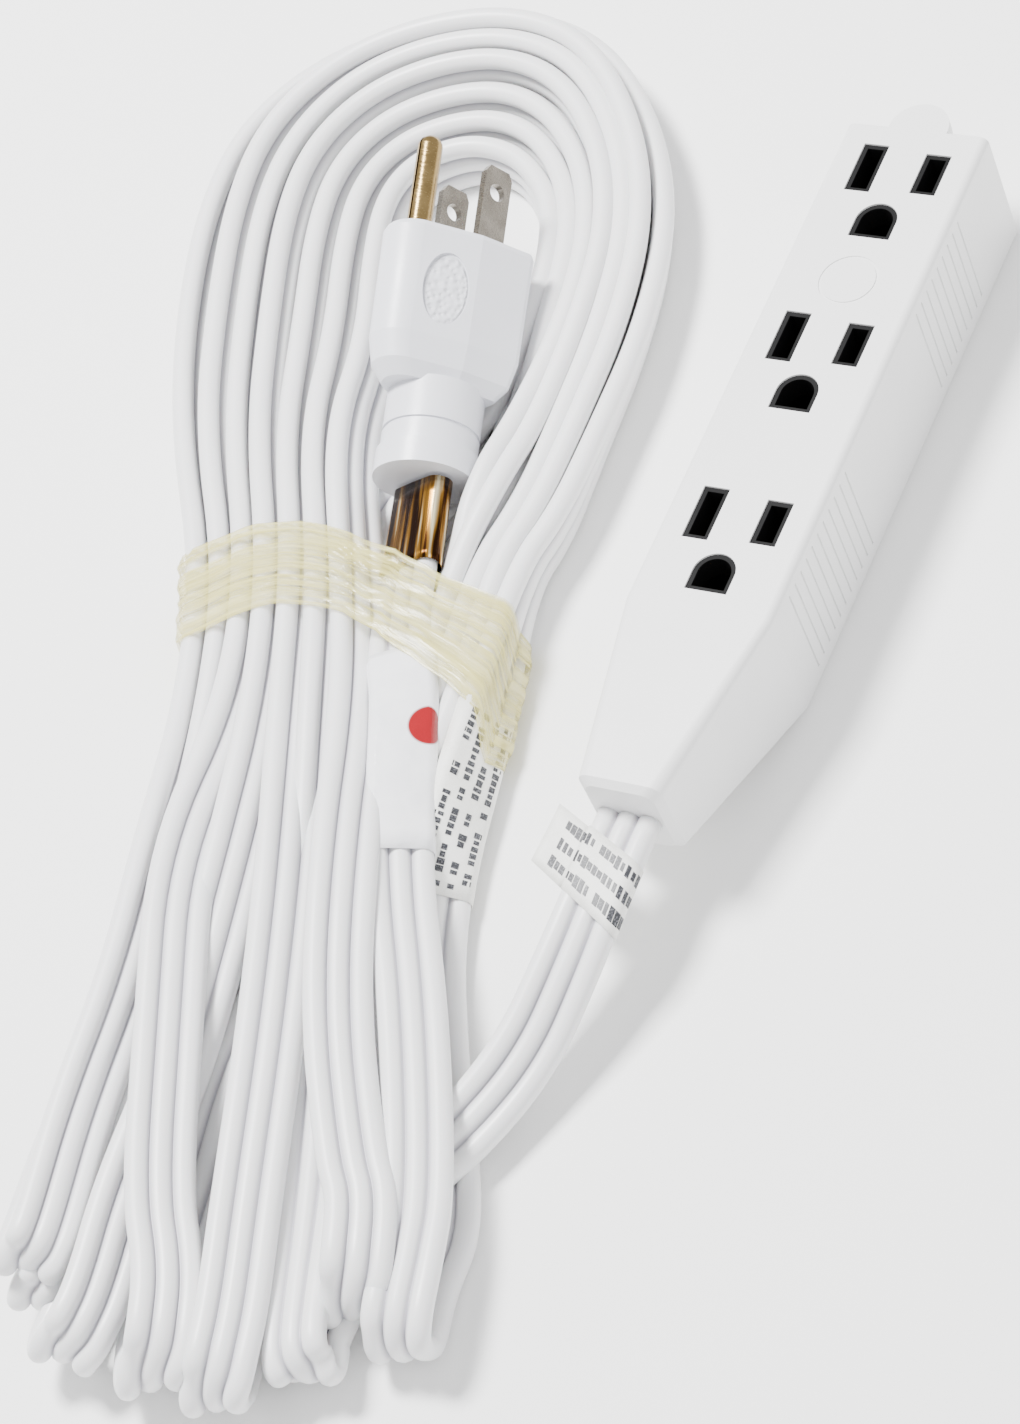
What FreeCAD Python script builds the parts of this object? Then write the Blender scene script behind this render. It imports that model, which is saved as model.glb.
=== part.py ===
import FreeCAD, Part
import math
import os

# Three-outlet extension cord: a moulded outlet block lying on its back, a flat
# three-conductor cord wound into a hank, and a moulded three-prong plug.
# Millimetres. +Z is up, out of the outlets; +Y runs along the block to its tab.
# The origin is the middle of the outlet block's footprint, on the floor.

V = FreeCAD.Vector

# ---- outlet block: driving sizes -------------------------------------------
BLOCK_WIDTH = 28.0
BLOCK_HEIGHT = 27.0
BLOCK_LENGTH = 147.5
EDGE_RADIUS = 1.4
FACE_EDGE_BREAK = 0.6
TAB_RADIUS = 5.8
TAB_THICKNESS = 3.0
TAPER_LENGTH = 37.5
END_WIDTH = 15.6
END_HEIGHT = 18.0
END_RADIUS = 2.4
END_EDGE_BREAK = 1.2

# outlets
OUTLET_COUNT = 3
OUTLET_PITCH = 40.0
FIRST_OUTLET_FROM_TOP = 10.5
SLOT_SPACING = 12.7
GROUND_OFFSET = 11.9
NEUTRAL_WINDOW = (5.0, 11.2)
HOT_WINDOW = (5.0, 9.5)
GROUND_WINDOW = 8.1
CORE_SLOT_INSET = 0.9
SURROUND_GAP = 0.05
SURROUND_SUNK = 0.35

# grip grooves and the plain ring on the face
GROOVE_PITCH = 2.7
GROOVE_WIDTH = 0.5
GROOVE_DEPTH = 0.35
GROOVE_TOP_CLEAR = 2.6
GROOVE_BOTTOM_CLEAR = 3.6
GROOVES_UPPER = 9
GROOVES_UPPER_FROM_TOP = 18.5
GROOVES_LOWER = 11
GROOVES_LOWER_FROM_TOP = 76.0
RING_RADIUS = 5.6
RING_WIDTH = 0.5
RING_DEPTH = 0.2

# contact carrier inside the block
FRONT_WALL = 3.0
BACK_WALL = 3.0
SIDE_WALL = 2.4
TOP_WALL = 4.3
CORE_LENGTH = 105.0
CORE_CLEARANCE = 0.05
CORE_PLATE = 2.0
CORE_FLOOR = 2.0
CORE_SPLIT = 10.0

# contact strips
STRIP_THICKNESS = 0.8
GROUND_STRIP_WIDTH = 6.4
BLADE_STRIP_WIDTH = min(4.4, SLOT_SPACING - GROUND_STRIP_WIDTH - 1.0)
CHANNEL_CLEARANCE = 0.15
LEAF_THICKNESS = 0.6
LEAF_HEIGHT = 12.5
BLADE_LEAF_LENGTH = 8.0
GROUND_LEAF_LENGTH = 5.0
LEAF_GRIP = 0.06
STRIP_TAIL = 1.0

# flat cord: three round lobes side by side
LOBE_RADIUS = 2.1
LOBE_PITCH = 3.9
WIRE_RADIUS = 0.75
CORD_WIDTH = 2 * LOBE_RADIUS + 2 * LOBE_PITCH
CORD_THICKNESS = 2 * LOBE_RADIUS
CRIMP_RADIUS = 1.5
CRIMP_LENGTH = 4.0
STRIPPED_LENGTH = 1.5
ROOT_LENGTH = 16.0

# ---- plug: driving sizes, along its own axes -------------------------------
# Local +Y points out along the prongs, +Z from the blades to the ground pin.
BLADE_WIDTH = 6.35
BLADE_THICKNESS = 1.52
BLADE_LENGTH = 17.0
BLADE_CHAMFER = 1.5
BLADE_HOLE_RADIUS = 1.75
BLADE_HOLE_FROM_FACE = 11.9
PIN_RADIUS = 2.4
PIN_LENGTH = 21.0
PIN_SEAM_WIDTH = 0.5
PIN_SEAM_DEPTH = 0.7
PRONG_ROOT = 11.0
PLUG_HALF_WIDTH = 12.0
PLUG_WAIST_HALF = 10.2
PLUG_BASE = 8.0
PLUG_WAIST = 4.0
PLUG_TOP_RADIUS = 6.4
PLUG_BODY = 31.0
PLUG_SHOULDER = 8.0
PLUG_END_SCALE = 0.74
PLUG_CORNER = 1.6
NECK_RADIUS = 9.2
NECK_OFFSET = 2.0
NECK_LENGTH = 12.0
COLLAR_RADIUS = 9.8
COLLAR_LENGTH = 5.0
GROOVE_RING_WIDTH = 0.8
GROOVE_RING_DEPTH = 0.4
BRIDGE_LENGTH = 6.0
BRIDGE_INSET = 2.0
BRIDGE_WIDTH = 18.0
BRIDGE_HALF_HEIGHT = 5.0
BRIDGE_MAST_WIDTH = 7.6
BRIDGE_TOP = 15.5
EMBLEM_LENGTH = 15.0
EMBLEM_WIDTH = 9.0
EMBLEM_DEPTH = 0.45

# where the plug lies: middle of its front face, then heading, lift and roll
PLUG_FACE = V(-81.7, 33.45, 19.6)
PLUG_HEADING = 12.8
PLUG_LIFT = 11.5
PLUG_ROLL = -29.2

# ---- loose cord: hand-placed points ----------------------------------------
EXIT_HEIGHT = BLOCK_HEIGHT - 0.53 * END_HEIGHT
TAIL_LEAD = 13.5
BLOCK_TAIL = [
    (-1.4, -104.5, 13.6),
    (-4.0, -119.5, 8.8),
    (-9.5, -134.0, 6.8),
    (-16.5, -147.0, 6.6),
]
PLUG_TAIL = [
    (-65.6, -39.5, 10.2),
]

# ---- hank: plan outline, hand-placed ---------------------------------------
HANK_OUTER = [
    (-101, 104), (-128, 95), (-146, 83), (-153, 67), (-151, 45), (-141, 17),
    (-124, -18), (-107, -48), (-98, -72), (-91, -100), (-84, -130), (-82, -160),
    (-79, -182), (-64, -193), (-42, -198), (-22, -195), (-4, -182), (9, -175),
    (8, -162), (-6, -140), (-20, -115), (-30, -92), (-36, -72), (-41, -45),
    (-42, -10), (-43, 27), (-47, 52), (-58, 77), (-78, 97),
]
HANK_EYE = [
    (-98, 76), (-108, 73), (-115, 63), (-114, 48), (-105, 24), (-95, 0),
    (-86, -20), (-72, -30), (-61, -21), (-61, 5), (-66, 28), (-73, 50),
    (-84, 70),
]
HANK_LIFT = 0.6
HANK_EYE_HEIGHT = 15.0
HANK_NECK_HEIGHT = 19.5
HANK_STEP_Y = -31.0

# tape round the neck of the hank, and the paper and foil labels
TAPE_Y = (-60.0, -36.0)
TAPE_THICKNESS = 0.4
LABEL_THICKNESS = 0.25
FOIL_LENGTH = 13.5
SLEEVE_ENDS = (V(-51.5, -66.0, 0), V(-38.0, -94.0, 0))
SLEEVE_WIDTH = 11.0
NOTICE_ENDS = (V(-37.5, -57.0, 0), V(-30.0, -88.0, 0))
NOTICE_WIDTH = 12.0
NOTICE_BASE = 3.0
FLAG_LENGTH = 12.0
FLAG_OVERHANG = 5.0

# ---- places worked out from the sizes --------------------------------------
TOP_Y = (BLOCK_LENGTH - TAB_RADIUS) / 2
END_Y = TOP_Y - BLOCK_LENGTH
TAPER_Y = END_Y + TAPER_LENGTH
CORE_TOP_Y = TOP_Y - TOP_WALL
CORE_END_Y = CORE_TOP_Y - CORE_LENGTH
CORE_HALF = BLOCK_WIDTH / 2 - SIDE_WALL
CORE_BOTTOM = BACK_WALL
CORE_TOP = BLOCK_HEIGHT - FRONT_WALL
STRIP_Z = CORE_BOTTOM + CORE_FLOOR
LEAF_TOP = STRIP_Z + STRIP_THICKNESS + LEAF_HEIGHT
ROOT_TOP_Y = END_Y + ROOT_LENGTH
STRIP_END_Y = CORE_END_Y - STRIP_TAIL
CRIMP_END_Y = STRIP_END_Y - CRIMP_LENGTH
PLUG_REAR = -(PLUG_BODY + NECK_LENGTH + COLLAR_LENGTH)
POLES = {"neutral": -SLOT_SPACING / 2, "ground": 0.0, "hot": SLOT_SPACING / 2}
LOBES = {"neutral": -LOBE_PITCH, "ground": 0.0, "hot": LOBE_PITCH}
PLUG_PLACE = FreeCAD.Placement(
    PLUG_FACE,
    FreeCAD.Rotation(V(0, 0, 1), PLUG_HEADING)
    * FreeCAD.Rotation(V(1, 0, 0), PLUG_LIFT)
    * FreeCAD.Rotation(V(0, 1, 0), PLUG_ROLL),
)


def outlet_y(index):
    """Height along the block of one outlet's slot line."""
    return TOP_Y - FIRST_OUTLET_FROM_TOP - index * OUTLET_PITCH


# ---- small shape helpers ----------------------------------------------------
def block(x0, x1, y0, y1, z0, z1):
    return Part.makeBox(x1 - x0, y1 - y0, z1 - z0, V(x0, y0, z0))


def rod(start, end, radius):
    axis = end - start
    return Part.makeCylinder(radius, axis.Length, start, axis)


def rounded_section(y, half, z0, z1, radius):
    """Rounded rectangle in the plane y, as a closed wire."""
    x0, x1 = -half, half
    turn = radius * math.sqrt(0.5)
    corners = [
        ((x1 - radius, z0), (x1 - radius + turn, z0 + radius - turn), (x1, z0 + radius)),
        ((x1, z1 - radius), (x1 - radius + turn, z1 - radius + turn), (x1 - radius, z1)),
        ((x0 + radius, z1), (x0 + radius - turn, z1 - radius + turn), (x0, z1 - radius)),
        ((x0, z0 + radius), (x0 + radius - turn, z0 + radius - turn), (x0 + radius, z0)),
    ]
    edges = []
    for number, corner in enumerate(corners):
        a, b, c = [V(x, y, z) for x, z in corner]
        edges.append(Part.Arc(a, b, c).toShape())
        following = corners[(number + 1) % 4][0]
        edges.append(Part.LineSegment(c, V(following[0], y, following[1])).toShape())
    return Part.Wire(edges)


def flat_cord_section(centre, side, up):
    """Closed outline of the flat cord, square to its run."""
    straight = side * (CORD_WIDTH / 2 - LOBE_RADIUS)
    edge = side * (CORD_WIDTH / 2)
    lift = up * LOBE_RADIUS
    a, b = centre - straight + lift, centre + straight + lift
    c, d = centre + straight - lift, centre - straight - lift
    return Part.Wire([
        Part.LineSegment(a, b).toShape(),
        Part.Arc(b, centre + edge, c).toShape(),
        Part.LineSegment(c, d).toShape(),
        Part.Arc(d, centre - edge, a).toShape(),
    ])


def cord_tube(points, name):
    """Flat cord along straight runs joined by the largest tangent arcs."""
    edges = []
    start = points[0]
    radii = []
    for before, corner, after in zip(points, points[1:], points[2:]):
        inward = (before - corner)
        outward = (after - corner)
        reach = 0.45 * min(inward.Length, outward.Length)
        half_turn = (math.pi - inward.getAngle(outward)) / 2
        radius = reach / math.tan(half_turn)
        radii.append(radius)
        inward.normalize()
        outward.normalize()
        middle = inward + outward
        middle.normalize()
        enter, leave = corner + inward * reach, corner + outward * reach
        crown = corner + middle * (radius / math.cos(half_turn) - radius)
        edges.append(Part.LineSegment(start, enter).toShape())
        edges.append(Part.Arc(enter, crown, leave).toShape())
        start = leave
    edges.append(Part.LineSegment(start, points[-1]).toShape())
    path = Part.Wire(edges)
    run = points[1] - points[0]
    run.normalize()
    side = run.cross(V(0, 0, 1))
    side.normalize()
    section = flat_cord_section(points[0], side, side.cross(run))
    sweep = Part.BRepOffsetAPI.MakePipeShell(path)
    sweep.setBiNormalMode(V(0, 0, 1))
    sweep.add(section)
    sweep.build()
    sweep.makeSolid()
    tube = sweep.shape()
    expected = Part.Face(section).Area * path.Length
    print(name, "length", round(path.Length, 1), "radii", [round(r, 1) for r in radii],
          "volume ratio", round(tube.Volume / expected, 4))
    return tube


def flat_cord(y0, y1, z, x=0.0):
    """Straight stretch of the three-lobed cord along Y."""
    lobes = [rod(V(x + lobe, y0, z), V(x + lobe, y1, z), LOBE_RADIUS) for lobe in LOBES.values()]
    return lobes[0].fuse(lobes[1:]).removeSplitter()


def save(name, shape):
    pieces = shape.Solids
    result = pieces[0] if len(pieces) == 1 else Part.makeCompound(pieces)
    if not result.isValid() or not pieces:
        raise ValueError(name + " is not a valid solid")
    result.exportStep("parts/" + name + ".step")


# ---- outlet block -----------------------------------------------------------
def block_outer():
    """Outside of the block: straight body, tapered cord end, broken edges."""
    half, end_half = BLOCK_WIDTH / 2, END_WIDTH / 2
    end_z = BLOCK_HEIGHT - END_HEIGHT
    edge, end_edge = FACE_EDGE_BREAK, END_EDGE_BREAK
    grow = end_edge / TAPER_LENGTH
    sections = [
        rounded_section(TOP_Y, half - edge, edge, BLOCK_HEIGHT - edge, EDGE_RADIUS),
        rounded_section(TOP_Y - edge, half, 0, BLOCK_HEIGHT, EDGE_RADIUS),
        rounded_section(TAPER_Y, half, 0, BLOCK_HEIGHT, EDGE_RADIUS),
        rounded_section(END_Y + end_edge, end_half + grow * (half - end_half),
                        end_z - grow * end_z, BLOCK_HEIGHT, END_RADIUS),
        rounded_section(END_Y, end_half - end_edge, end_z + end_edge,
                        BLOCK_HEIGHT - end_edge, END_RADIUS),
    ]
    body = Part.makeLoft(sections, True, True)
    tab_base = BLOCK_HEIGHT - TAB_THICKNESS
    tab = Part.makeCylinder(TAB_RADIUS, TAB_THICKNESS, V(0, TOP_Y, tab_base))
    neck = block(-TAB_RADIUS, TAB_RADIUS, TOP_Y - 2 * edge, TOP_Y, tab_base, BLOCK_HEIGHT)
    return body.fuse([tab, neck]).removeSplitter()


def window(index, pole, inset=0.0):
    """Straight-through cutter for one slot or ground hole."""
    y = outlet_y(index)
    z0, z1 = CORE_TOP - CORE_PLATE - 1, BLOCK_HEIGHT + 1
    if pole == "ground":
        half = GROUND_WINDOW / 2 - inset
        middle = y - GROUND_OFFSET
        square = block(-half, half, middle - half, middle, z0, z1)
        return square.fuse(Part.makeCylinder(half, z1 - z0, V(0, middle, z0)))
    width, length = NEUTRAL_WINDOW if pole == "neutral" else HOT_WINDOW
    x = POLES[pole]
    half_w, half_l = width / 2 - inset, length / 2 - inset
    return block(x - half_w, x + half_w, y - half_l, y + half_l, z0, z1)


def windows(inset=0.0):
    return [window(index, pole, inset) for index in range(OUTLET_COUNT) for pole in POLES]


def grip_grooves():
    """Shallow upright grooves on both sides, in two groups."""
    cutters = []
    groups = ((GROOVES_UPPER_FROM_TOP, GROOVES_UPPER), (GROOVES_LOWER_FROM_TOP, GROOVES_LOWER))
    for from_top, count in groups:
        for number in range(count):
            y = TOP_Y - from_top - number * GROOVE_PITCH
            for side in (-1, 1):
                x = side * BLOCK_WIDTH / 2
                cutters.append(block(x - GROOVE_DEPTH, x + GROOVE_DEPTH, y - GROOVE_WIDTH / 2,
                                     y + GROOVE_WIDTH / 2, GROOVE_BOTTOM_CLEAR,
                                     BLOCK_HEIGHT - GROOVE_TOP_CLEAR))
    return cutters


def face_ring():
    """Cutter for the plain ring between the first two outlets."""
    y = outlet_y(0) - GROUND_OFFSET - (OUTLET_PITCH - GROUND_OFFSET) / 2
    base = V(0, y, BLOCK_HEIGHT - RING_DEPTH)
    outer = Part.makeCylinder(RING_RADIUS, 1, base)
    return outer.cut(Part.makeCylinder(RING_RADIUS - RING_WIDTH, 1, base))


def core_space(clearance):
    return block(-CORE_HALF - clearance, CORE_HALF + clearance, CORE_END_Y - clearance,
                 CORE_TOP_Y + clearance, CORE_BOTTOM - clearance, CORE_TOP + clearance)


def channels(z0, z1):
    """Long slots in the carrier that hold the three contact strips."""
    cutters = []
    for pole, x in POLES.items():
        width = GROUND_STRIP_WIDTH if pole == "ground" else BLADE_STRIP_WIDTH
        half = width / 2 + CHANNEL_CLEARANCE
        cutters.append(block(x - half, x + half, CORE_END_Y - 1, CORE_TOP_Y - 2, z0, z1))
    return cutters


def core_halves():
    body = core_space(0)
    split = CORE_BOTTOM + CORE_SPLIT
    rear = body.common(block(-50, 50, -200, 200, 0, split))
    front = body.common(block(-50, 50, -200, 200, split, 50))
    rear = rear.cut(channels(STRIP_Z, split + 1))
    surround_space = block(-50, 50, -200, 200, CORE_TOP - 0.5, BLOCK_HEIGHT - SURROUND_SUNK)
    surrounds = [opening.common(surround_space) for opening in windows(SURROUND_GAP)]
    front = front.cut(channels(split - 1, CORE_TOP - CORE_PLATE)).fuse(surrounds)
    front = front.cut(windows(CORE_SLOT_INSET))
    return front, rear


def contact_strip(pole):
    """One stamped strip with a pair of gripping leaves at every outlet."""
    x = POLES[pole]
    ground = pole == "ground"
    width = GROUND_STRIP_WIDTH if ground else BLADE_STRIP_WIDTH
    gap = PIN_RADIUS if ground else BLADE_THICKNESS / 2
    length = GROUND_LEAF_LENGTH if ground else BLADE_LEAF_LENGTH
    base = STRIP_Z + STRIP_THICKNESS
    strip = block(x - width / 2, x + width / 2, STRIP_END_Y, CORE_TOP_Y - 4, STRIP_Z, base)
    leaves = []
    for index in range(OUTLET_COUNT):
        y = outlet_y(index) - (GROUND_OFFSET if ground else 0)
        inner = gap - LEAF_GRIP
        for side in (-1, 1):
            a, b = sorted((x + side * inner, x + side * (inner + LEAF_THICKNESS)))
            leaves.append(block(a, b, y - length / 2, y + length / 2, base - 0.1, LEAF_TOP))
    return strip.fuse(leaves).removeSplitter()


def block_wiring():
    """Split conductors, bare wire and crimps between the cord and the strips."""
    shapes = {}
    wire_z = STRIP_Z + STRIP_THICKNESS + CRIMP_RADIUS
    root = flat_cord(END_Y, ROOT_TOP_Y, EXIT_HEIGHT)
    for pole, x in POLES.items():
        start = V(LOBES[pole], ROOT_TOP_Y, EXIT_HEIGHT)
        stripped = V(x, CRIMP_END_Y - STRIPPED_LENGTH, wire_z)
        wire = rod(V(LOBES[pole], END_Y, EXIT_HEIGHT), start, WIRE_RADIUS)
        wire = wire.fuse([Part.makeSphere(WIRE_RADIUS, start), rod(start, stripped, WIRE_RADIUS),
                          Part.makeSphere(WIRE_RADIUS, stripped),
                          rod(stripped, V(x, STRIP_END_Y, wire_z), WIRE_RADIUS)])
        cover = rod(start, stripped, min(LOBE_RADIUS, LOBE_PITCH / 2) - 0.05)
        cover = cover.cut(root)
        crimp = rod(V(x, CRIMP_END_Y, wire_z), V(x, STRIP_END_Y, wire_z), CRIMP_RADIUS)
        root = root.cut(wire)
        shapes["block_" + pole + "_wire"] = wire
        shapes["block_" + pole + "_insulation"] = cover.cut(wire)
        shapes["block_" + pole + "_crimp"] = crimp.cut(wire)
    shapes["block_cord_root"] = root
    return shapes


def build_block():
    shapes = block_wiring()
    for pole in POLES:
        shapes[pole + "_contact_strip"] = contact_strip(pole)
    front, rear = core_halves()
    housing = block_outer().cut([core_space(CORE_CLEARANCE), face_ring()])
    housing = housing.cut(windows() + grip_grooves())
    housing = housing.cut(list(shapes.values()))
    shapes["contact_carrier_front"] = front
    shapes["contact_carrier_rear"] = rear
    shapes["outlet_block_housing"] = housing
    return shapes


# ---- plug, in its own axes --------------------------------------------------
def plug_outline(y, scale):
    """House-shaped outline of the plug body, shrunk about the neck's axis."""
    def at(x, z):
        return V(x * scale, y, NECK_OFFSET + (z - NECK_OFFSET) * scale)

    crown = GROUND_OFFSET + PLUG_TOP_RADIUS
    lean = math.atan2(PLUG_WAIST_HALF - PLUG_TOP_RADIUS, GROUND_OFFSET - PLUG_WAIST)
    touch_x = PLUG_TOP_RADIUS * math.cos(lean)
    touch_z = GROUND_OFFSET + PLUG_TOP_RADIUS * math.sin(lean)
    corner = PLUG_CORNER
    spots = [at(PLUG_HALF_WIDTH - corner, -PLUG_BASE),
             at(PLUG_HALF_WIDTH - 0.3 * corner, -PLUG_BASE + 0.3 * corner),
             at(PLUG_HALF_WIDTH, -PLUG_BASE + corner),
             at(PLUG_WAIST_HALF, PLUG_WAIST),
             at(touch_x, touch_z),
             at(0, crown),
             at(-touch_x, touch_z),
             at(-PLUG_WAIST_HALF, PLUG_WAIST),
             at(-PLUG_HALF_WIDTH, -PLUG_BASE + corner),
             at(-PLUG_HALF_WIDTH + 0.3 * corner, -PLUG_BASE + 0.3 * corner),
             at(-PLUG_HALF_WIDTH + corner, -PLUG_BASE)]
    return Part.Wire([
        Part.Arc(spots[0], spots[1], spots[2]).toShape(),
        Part.LineSegment(spots[2], spots[3]).toShape(),
        Part.LineSegment(spots[3], spots[4]).toShape(),
        Part.Arc(spots[4], spots[5], spots[6]).toShape(),
        Part.LineSegment(spots[6], spots[7]).toShape(),
        Part.LineSegment(spots[7], spots[8]).toShape(),
        Part.Arc(spots[8], spots[9], spots[10]).toShape(),
        Part.LineSegment(spots[10], spots[0]).toShape(),
    ])


def emblem_recess(side):
    """Cutter for the plain oval recess on one sloping face of the plug."""
    lean = math.atan2(PLUG_WAIST_HALF - PLUG_TOP_RADIUS, GROUND_OFFSET - PLUG_WAIST)
    normal = V(side * math.cos(lean), 0, math.sin(lean))
    middle = V(side * (PLUG_WAIST_HALF + PLUG_TOP_RADIUS * math.cos(lean)) / 2, -PLUG_BODY * 0.42,
               (PLUG_WAIST + GROUND_OFFSET + PLUG_TOP_RADIUS * math.sin(lean)) / 2)
    ellipse = Part.Ellipse()
    ellipse.MajorRadius = EMBLEM_LENGTH / 2
    ellipse.MinorRadius = EMBLEM_WIDTH / 2
    face = Part.Face(Part.Wire([ellipse.toShape()]))
    turned = FreeCAD.Rotation(V(0, 1, 0), V(0, 0, 0), normal, "ZXY")
    face.Placement = FreeCAD.Placement(middle - normal * EMBLEM_DEPTH, turned)
    return face.extrude(normal * 3)


def plug_body():
    front_break = 0.97
    sections = [(0.0, front_break), (-1.0, 1.0), (-(PLUG_BODY - PLUG_SHOULDER), 0.98),
                (-(PLUG_BODY - 0.35 * PLUG_SHOULDER), 0.9), (-PLUG_BODY, PLUG_END_SCALE)]
    body = Part.makeLoft([plug_outline(y, scale) for y, scale in sections], True, True)
    axis = [V(0, -PLUG_BODY + 1, NECK_OFFSET), V(0, -PLUG_BODY - NECK_LENGTH, NECK_OFFSET),
            V(0, PLUG_REAR, NECK_OFFSET)]
    neck = rod(axis[0], axis[1], NECK_RADIUS)
    collar = rod(axis[1], axis[2], COLLAR_RADIUS)
    groove_y = -PLUG_BODY - 0.62 * NECK_LENGTH
    a, b = V(0, groove_y, NECK_OFFSET), V(0, groove_y - GROOVE_RING_WIDTH, NECK_OFFSET)
    ring = rod(a, b, NECK_RADIUS + 1).cut(rod(a, b, NECK_RADIUS - GROOVE_RING_DEPTH))
    body = body.fuse([neck, collar]).removeSplitter()
    return body.cut([ring, emblem_recess(-1), emblem_recess(1)])


def plug_blade(x):
    """Flat blade with clipped corners and its locking hole."""
    half = BLADE_WIDTH / 2
    tip, clip = BLADE_LENGTH, BLADE_CHAMFER
    outline = [V(x, -PRONG_ROOT, -half), V(x, tip - clip, -half), V(x, tip, -half + clip * 0.6),
               V(x, tip, half - clip * 0.6), V(x, tip - clip, half), V(x, -PRONG_ROOT, half)]
    profile = Part.Face(Part.makePolygon(outline + outline[:1]))
    profile.translate(V(-BLADE_THICKNESS / 2, 0, 0))
    blade = profile.extrude(V(BLADE_THICKNESS, 0, 0))
    hole = rod(V(x - 2, BLADE_HOLE_FROM_FACE, 0), V(x + 2, BLADE_HOLE_FROM_FACE, 0), BLADE_HOLE_RADIUS)
    return blade.cut(hole)


def plug_pin():
    """Folded ground pin: round, with a rounded tip and a seam along it."""
    shoulder = PIN_LENGTH - PIN_RADIUS
    pin = rod(V(0, -PRONG_ROOT, GROUND_OFFSET), V(0, shoulder, GROUND_OFFSET), PIN_RADIUS)
    pin = pin.fuse(Part.makeSphere(PIN_RADIUS, V(0, shoulder, GROUND_OFFSET))).removeSplitter()
    seam_z = GROUND_OFFSET + PIN_RADIUS - PIN_SEAM_DEPTH
    seam = block(-PIN_SEAM_WIDTH / 2, PIN_SEAM_WIDTH / 2, 1.0, PIN_LENGTH, seam_z,
                 GROUND_OFFSET + PIN_RADIUS + 1)
    return pin.cut(seam)


def plug_bridge():
    """Inner moulding that holds the three prongs at their spacing."""
    y0, y1 = -BRIDGE_INSET - BRIDGE_LENGTH, -BRIDGE_INSET
    bar = block(-BRIDGE_WIDTH / 2, BRIDGE_WIDTH / 2, y0, y1, -BRIDGE_HALF_HEIGHT, BRIDGE_HALF_HEIGHT)
    mast = block(-BRIDGE_MAST_WIDTH / 2, BRIDGE_MAST_WIDTH / 2, y0, y1, 0, BRIDGE_TOP)
    return bar.fuse(mast).removeSplitter()


def plug_wiring():
    shapes = {}
    root_front = -(PLUG_BODY + 1)
    root = flat_cord(PLUG_REAR, root_front, NECK_OFFSET)
    heights = {"neutral": 0.0, "ground": GROUND_OFFSET, "hot": 0.0}
    for pole, x in POLES.items():
        start = V(LOBES[pole], root_front, NECK_OFFSET)
        crimp_front = V(x, -PRONG_ROOT, heights[pole])
        crimp_rear = V(x, -PRONG_ROOT - CRIMP_LENGTH, heights[pole])
        stripped = crimp_rear - V(0, STRIPPED_LENGTH, 0)
        wire = rod(V(LOBES[pole], PLUG_REAR, NECK_OFFSET), start, WIRE_RADIUS)
        wire = wire.fuse([Part.makeSphere(WIRE_RADIUS, start), rod(start, stripped, WIRE_RADIUS),
                          Part.makeSphere(WIRE_RADIUS, stripped),
                          rod(stripped, crimp_front, WIRE_RADIUS)])
        cover = rod(start, stripped, min(LOBE_RADIUS, LOBE_PITCH / 2) - 0.05).cut(root)
        crimp = rod(crimp_rear, crimp_front, CRIMP_RADIUS)
        root = root.cut(wire)
        shapes["plug_" + pole + "_wire"] = wire
        shapes["plug_" + pole + "_insulation"] = cover.cut(wire)
        shapes["plug_" + pole + "_crimp"] = crimp.cut(wire)
    shapes["plug_cord_root"] = root
    return shapes


def build_plug():
    shapes = plug_wiring()
    prongs = {"neutral_blade": plug_blade(POLES["neutral"]), "hot_blade": plug_blade(POLES["hot"]),
              "ground_pin": plug_pin()}
    bridge = plug_bridge().cut(list(prongs.values()))
    shapes.update(prongs)
    shapes["prong_bridge"] = bridge
    shapes["plug_body"] = plug_body().cut(list(shapes.values()))
    for shape in shapes.values():
        shape.Placement = PLUG_PLACE.multiply(shape.Placement)
    return shapes


# ---- hank, loose cord, tape and labels --------------------------------------
def plan_face(points, lift, grow=0.0):
    """Smooth closed outline through plan points, which run anticlockwise, grown outwards."""
    spots = [V(x, y, lift) for x, y in points]
    curve = Part.BSplineCurve()
    curve.interpolate(spots, PeriodicFlag=True)
    if grow:
        outward = [curve.tangent(curve.parameter(spot))[0].cross(V(0, 0, 1)) for spot in spots]
        curve.interpolate([spot + out * grow for spot, out in zip(spots, outward)], PeriodicFlag=True)
    return Part.Face(Part.Wire([curve.toShape()]))


def hank_solid():
    """Outer shape of the wound cord: an open eye, then the neck and fan."""
    outer = plan_face(HANK_OUTER, HANK_LIFT)
    low = outer.extrude(V(0, 0, HANK_EYE_HEIGHT - HANK_LIFT))
    high = outer.extrude(V(0, 0, HANK_NECK_HEIGHT - HANK_LIFT))
    high = high.common(block(-200, 100, -250, HANK_STEP_Y, 0, 50))
    eye = plan_face(HANK_EYE, 0).extrude(V(0, 0, 50))
    return low.fuse(high).cut(eye).removeSplitter()


def tape_band(hank):
    """Clear tape wrapped once round the neck of the hank."""
    outer = plan_face(HANK_OUTER, HANK_LIFT - TAPE_THICKNESS, TAPE_THICKNESS)
    wrap = outer.extrude(V(0, 0, HANK_NECK_HEIGHT - HANK_LIFT + 2 * TAPE_THICKNESS))
    wrap = wrap.common(block(-200, 100, TAPE_Y[0], TAPE_Y[1], 0, 50))
    return wrap.cut(hank)


def run_frame(start, end):
    """Placement with X across a cord run, Y along it and its top upwards."""
    along = end - start
    along.normalize()
    side = along.cross(V(0, 0, 1))
    side.normalize()
    return FreeCAD.Placement(start, FreeCAD.Rotation(side, along, side.cross(along), "YXZ"))


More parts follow.
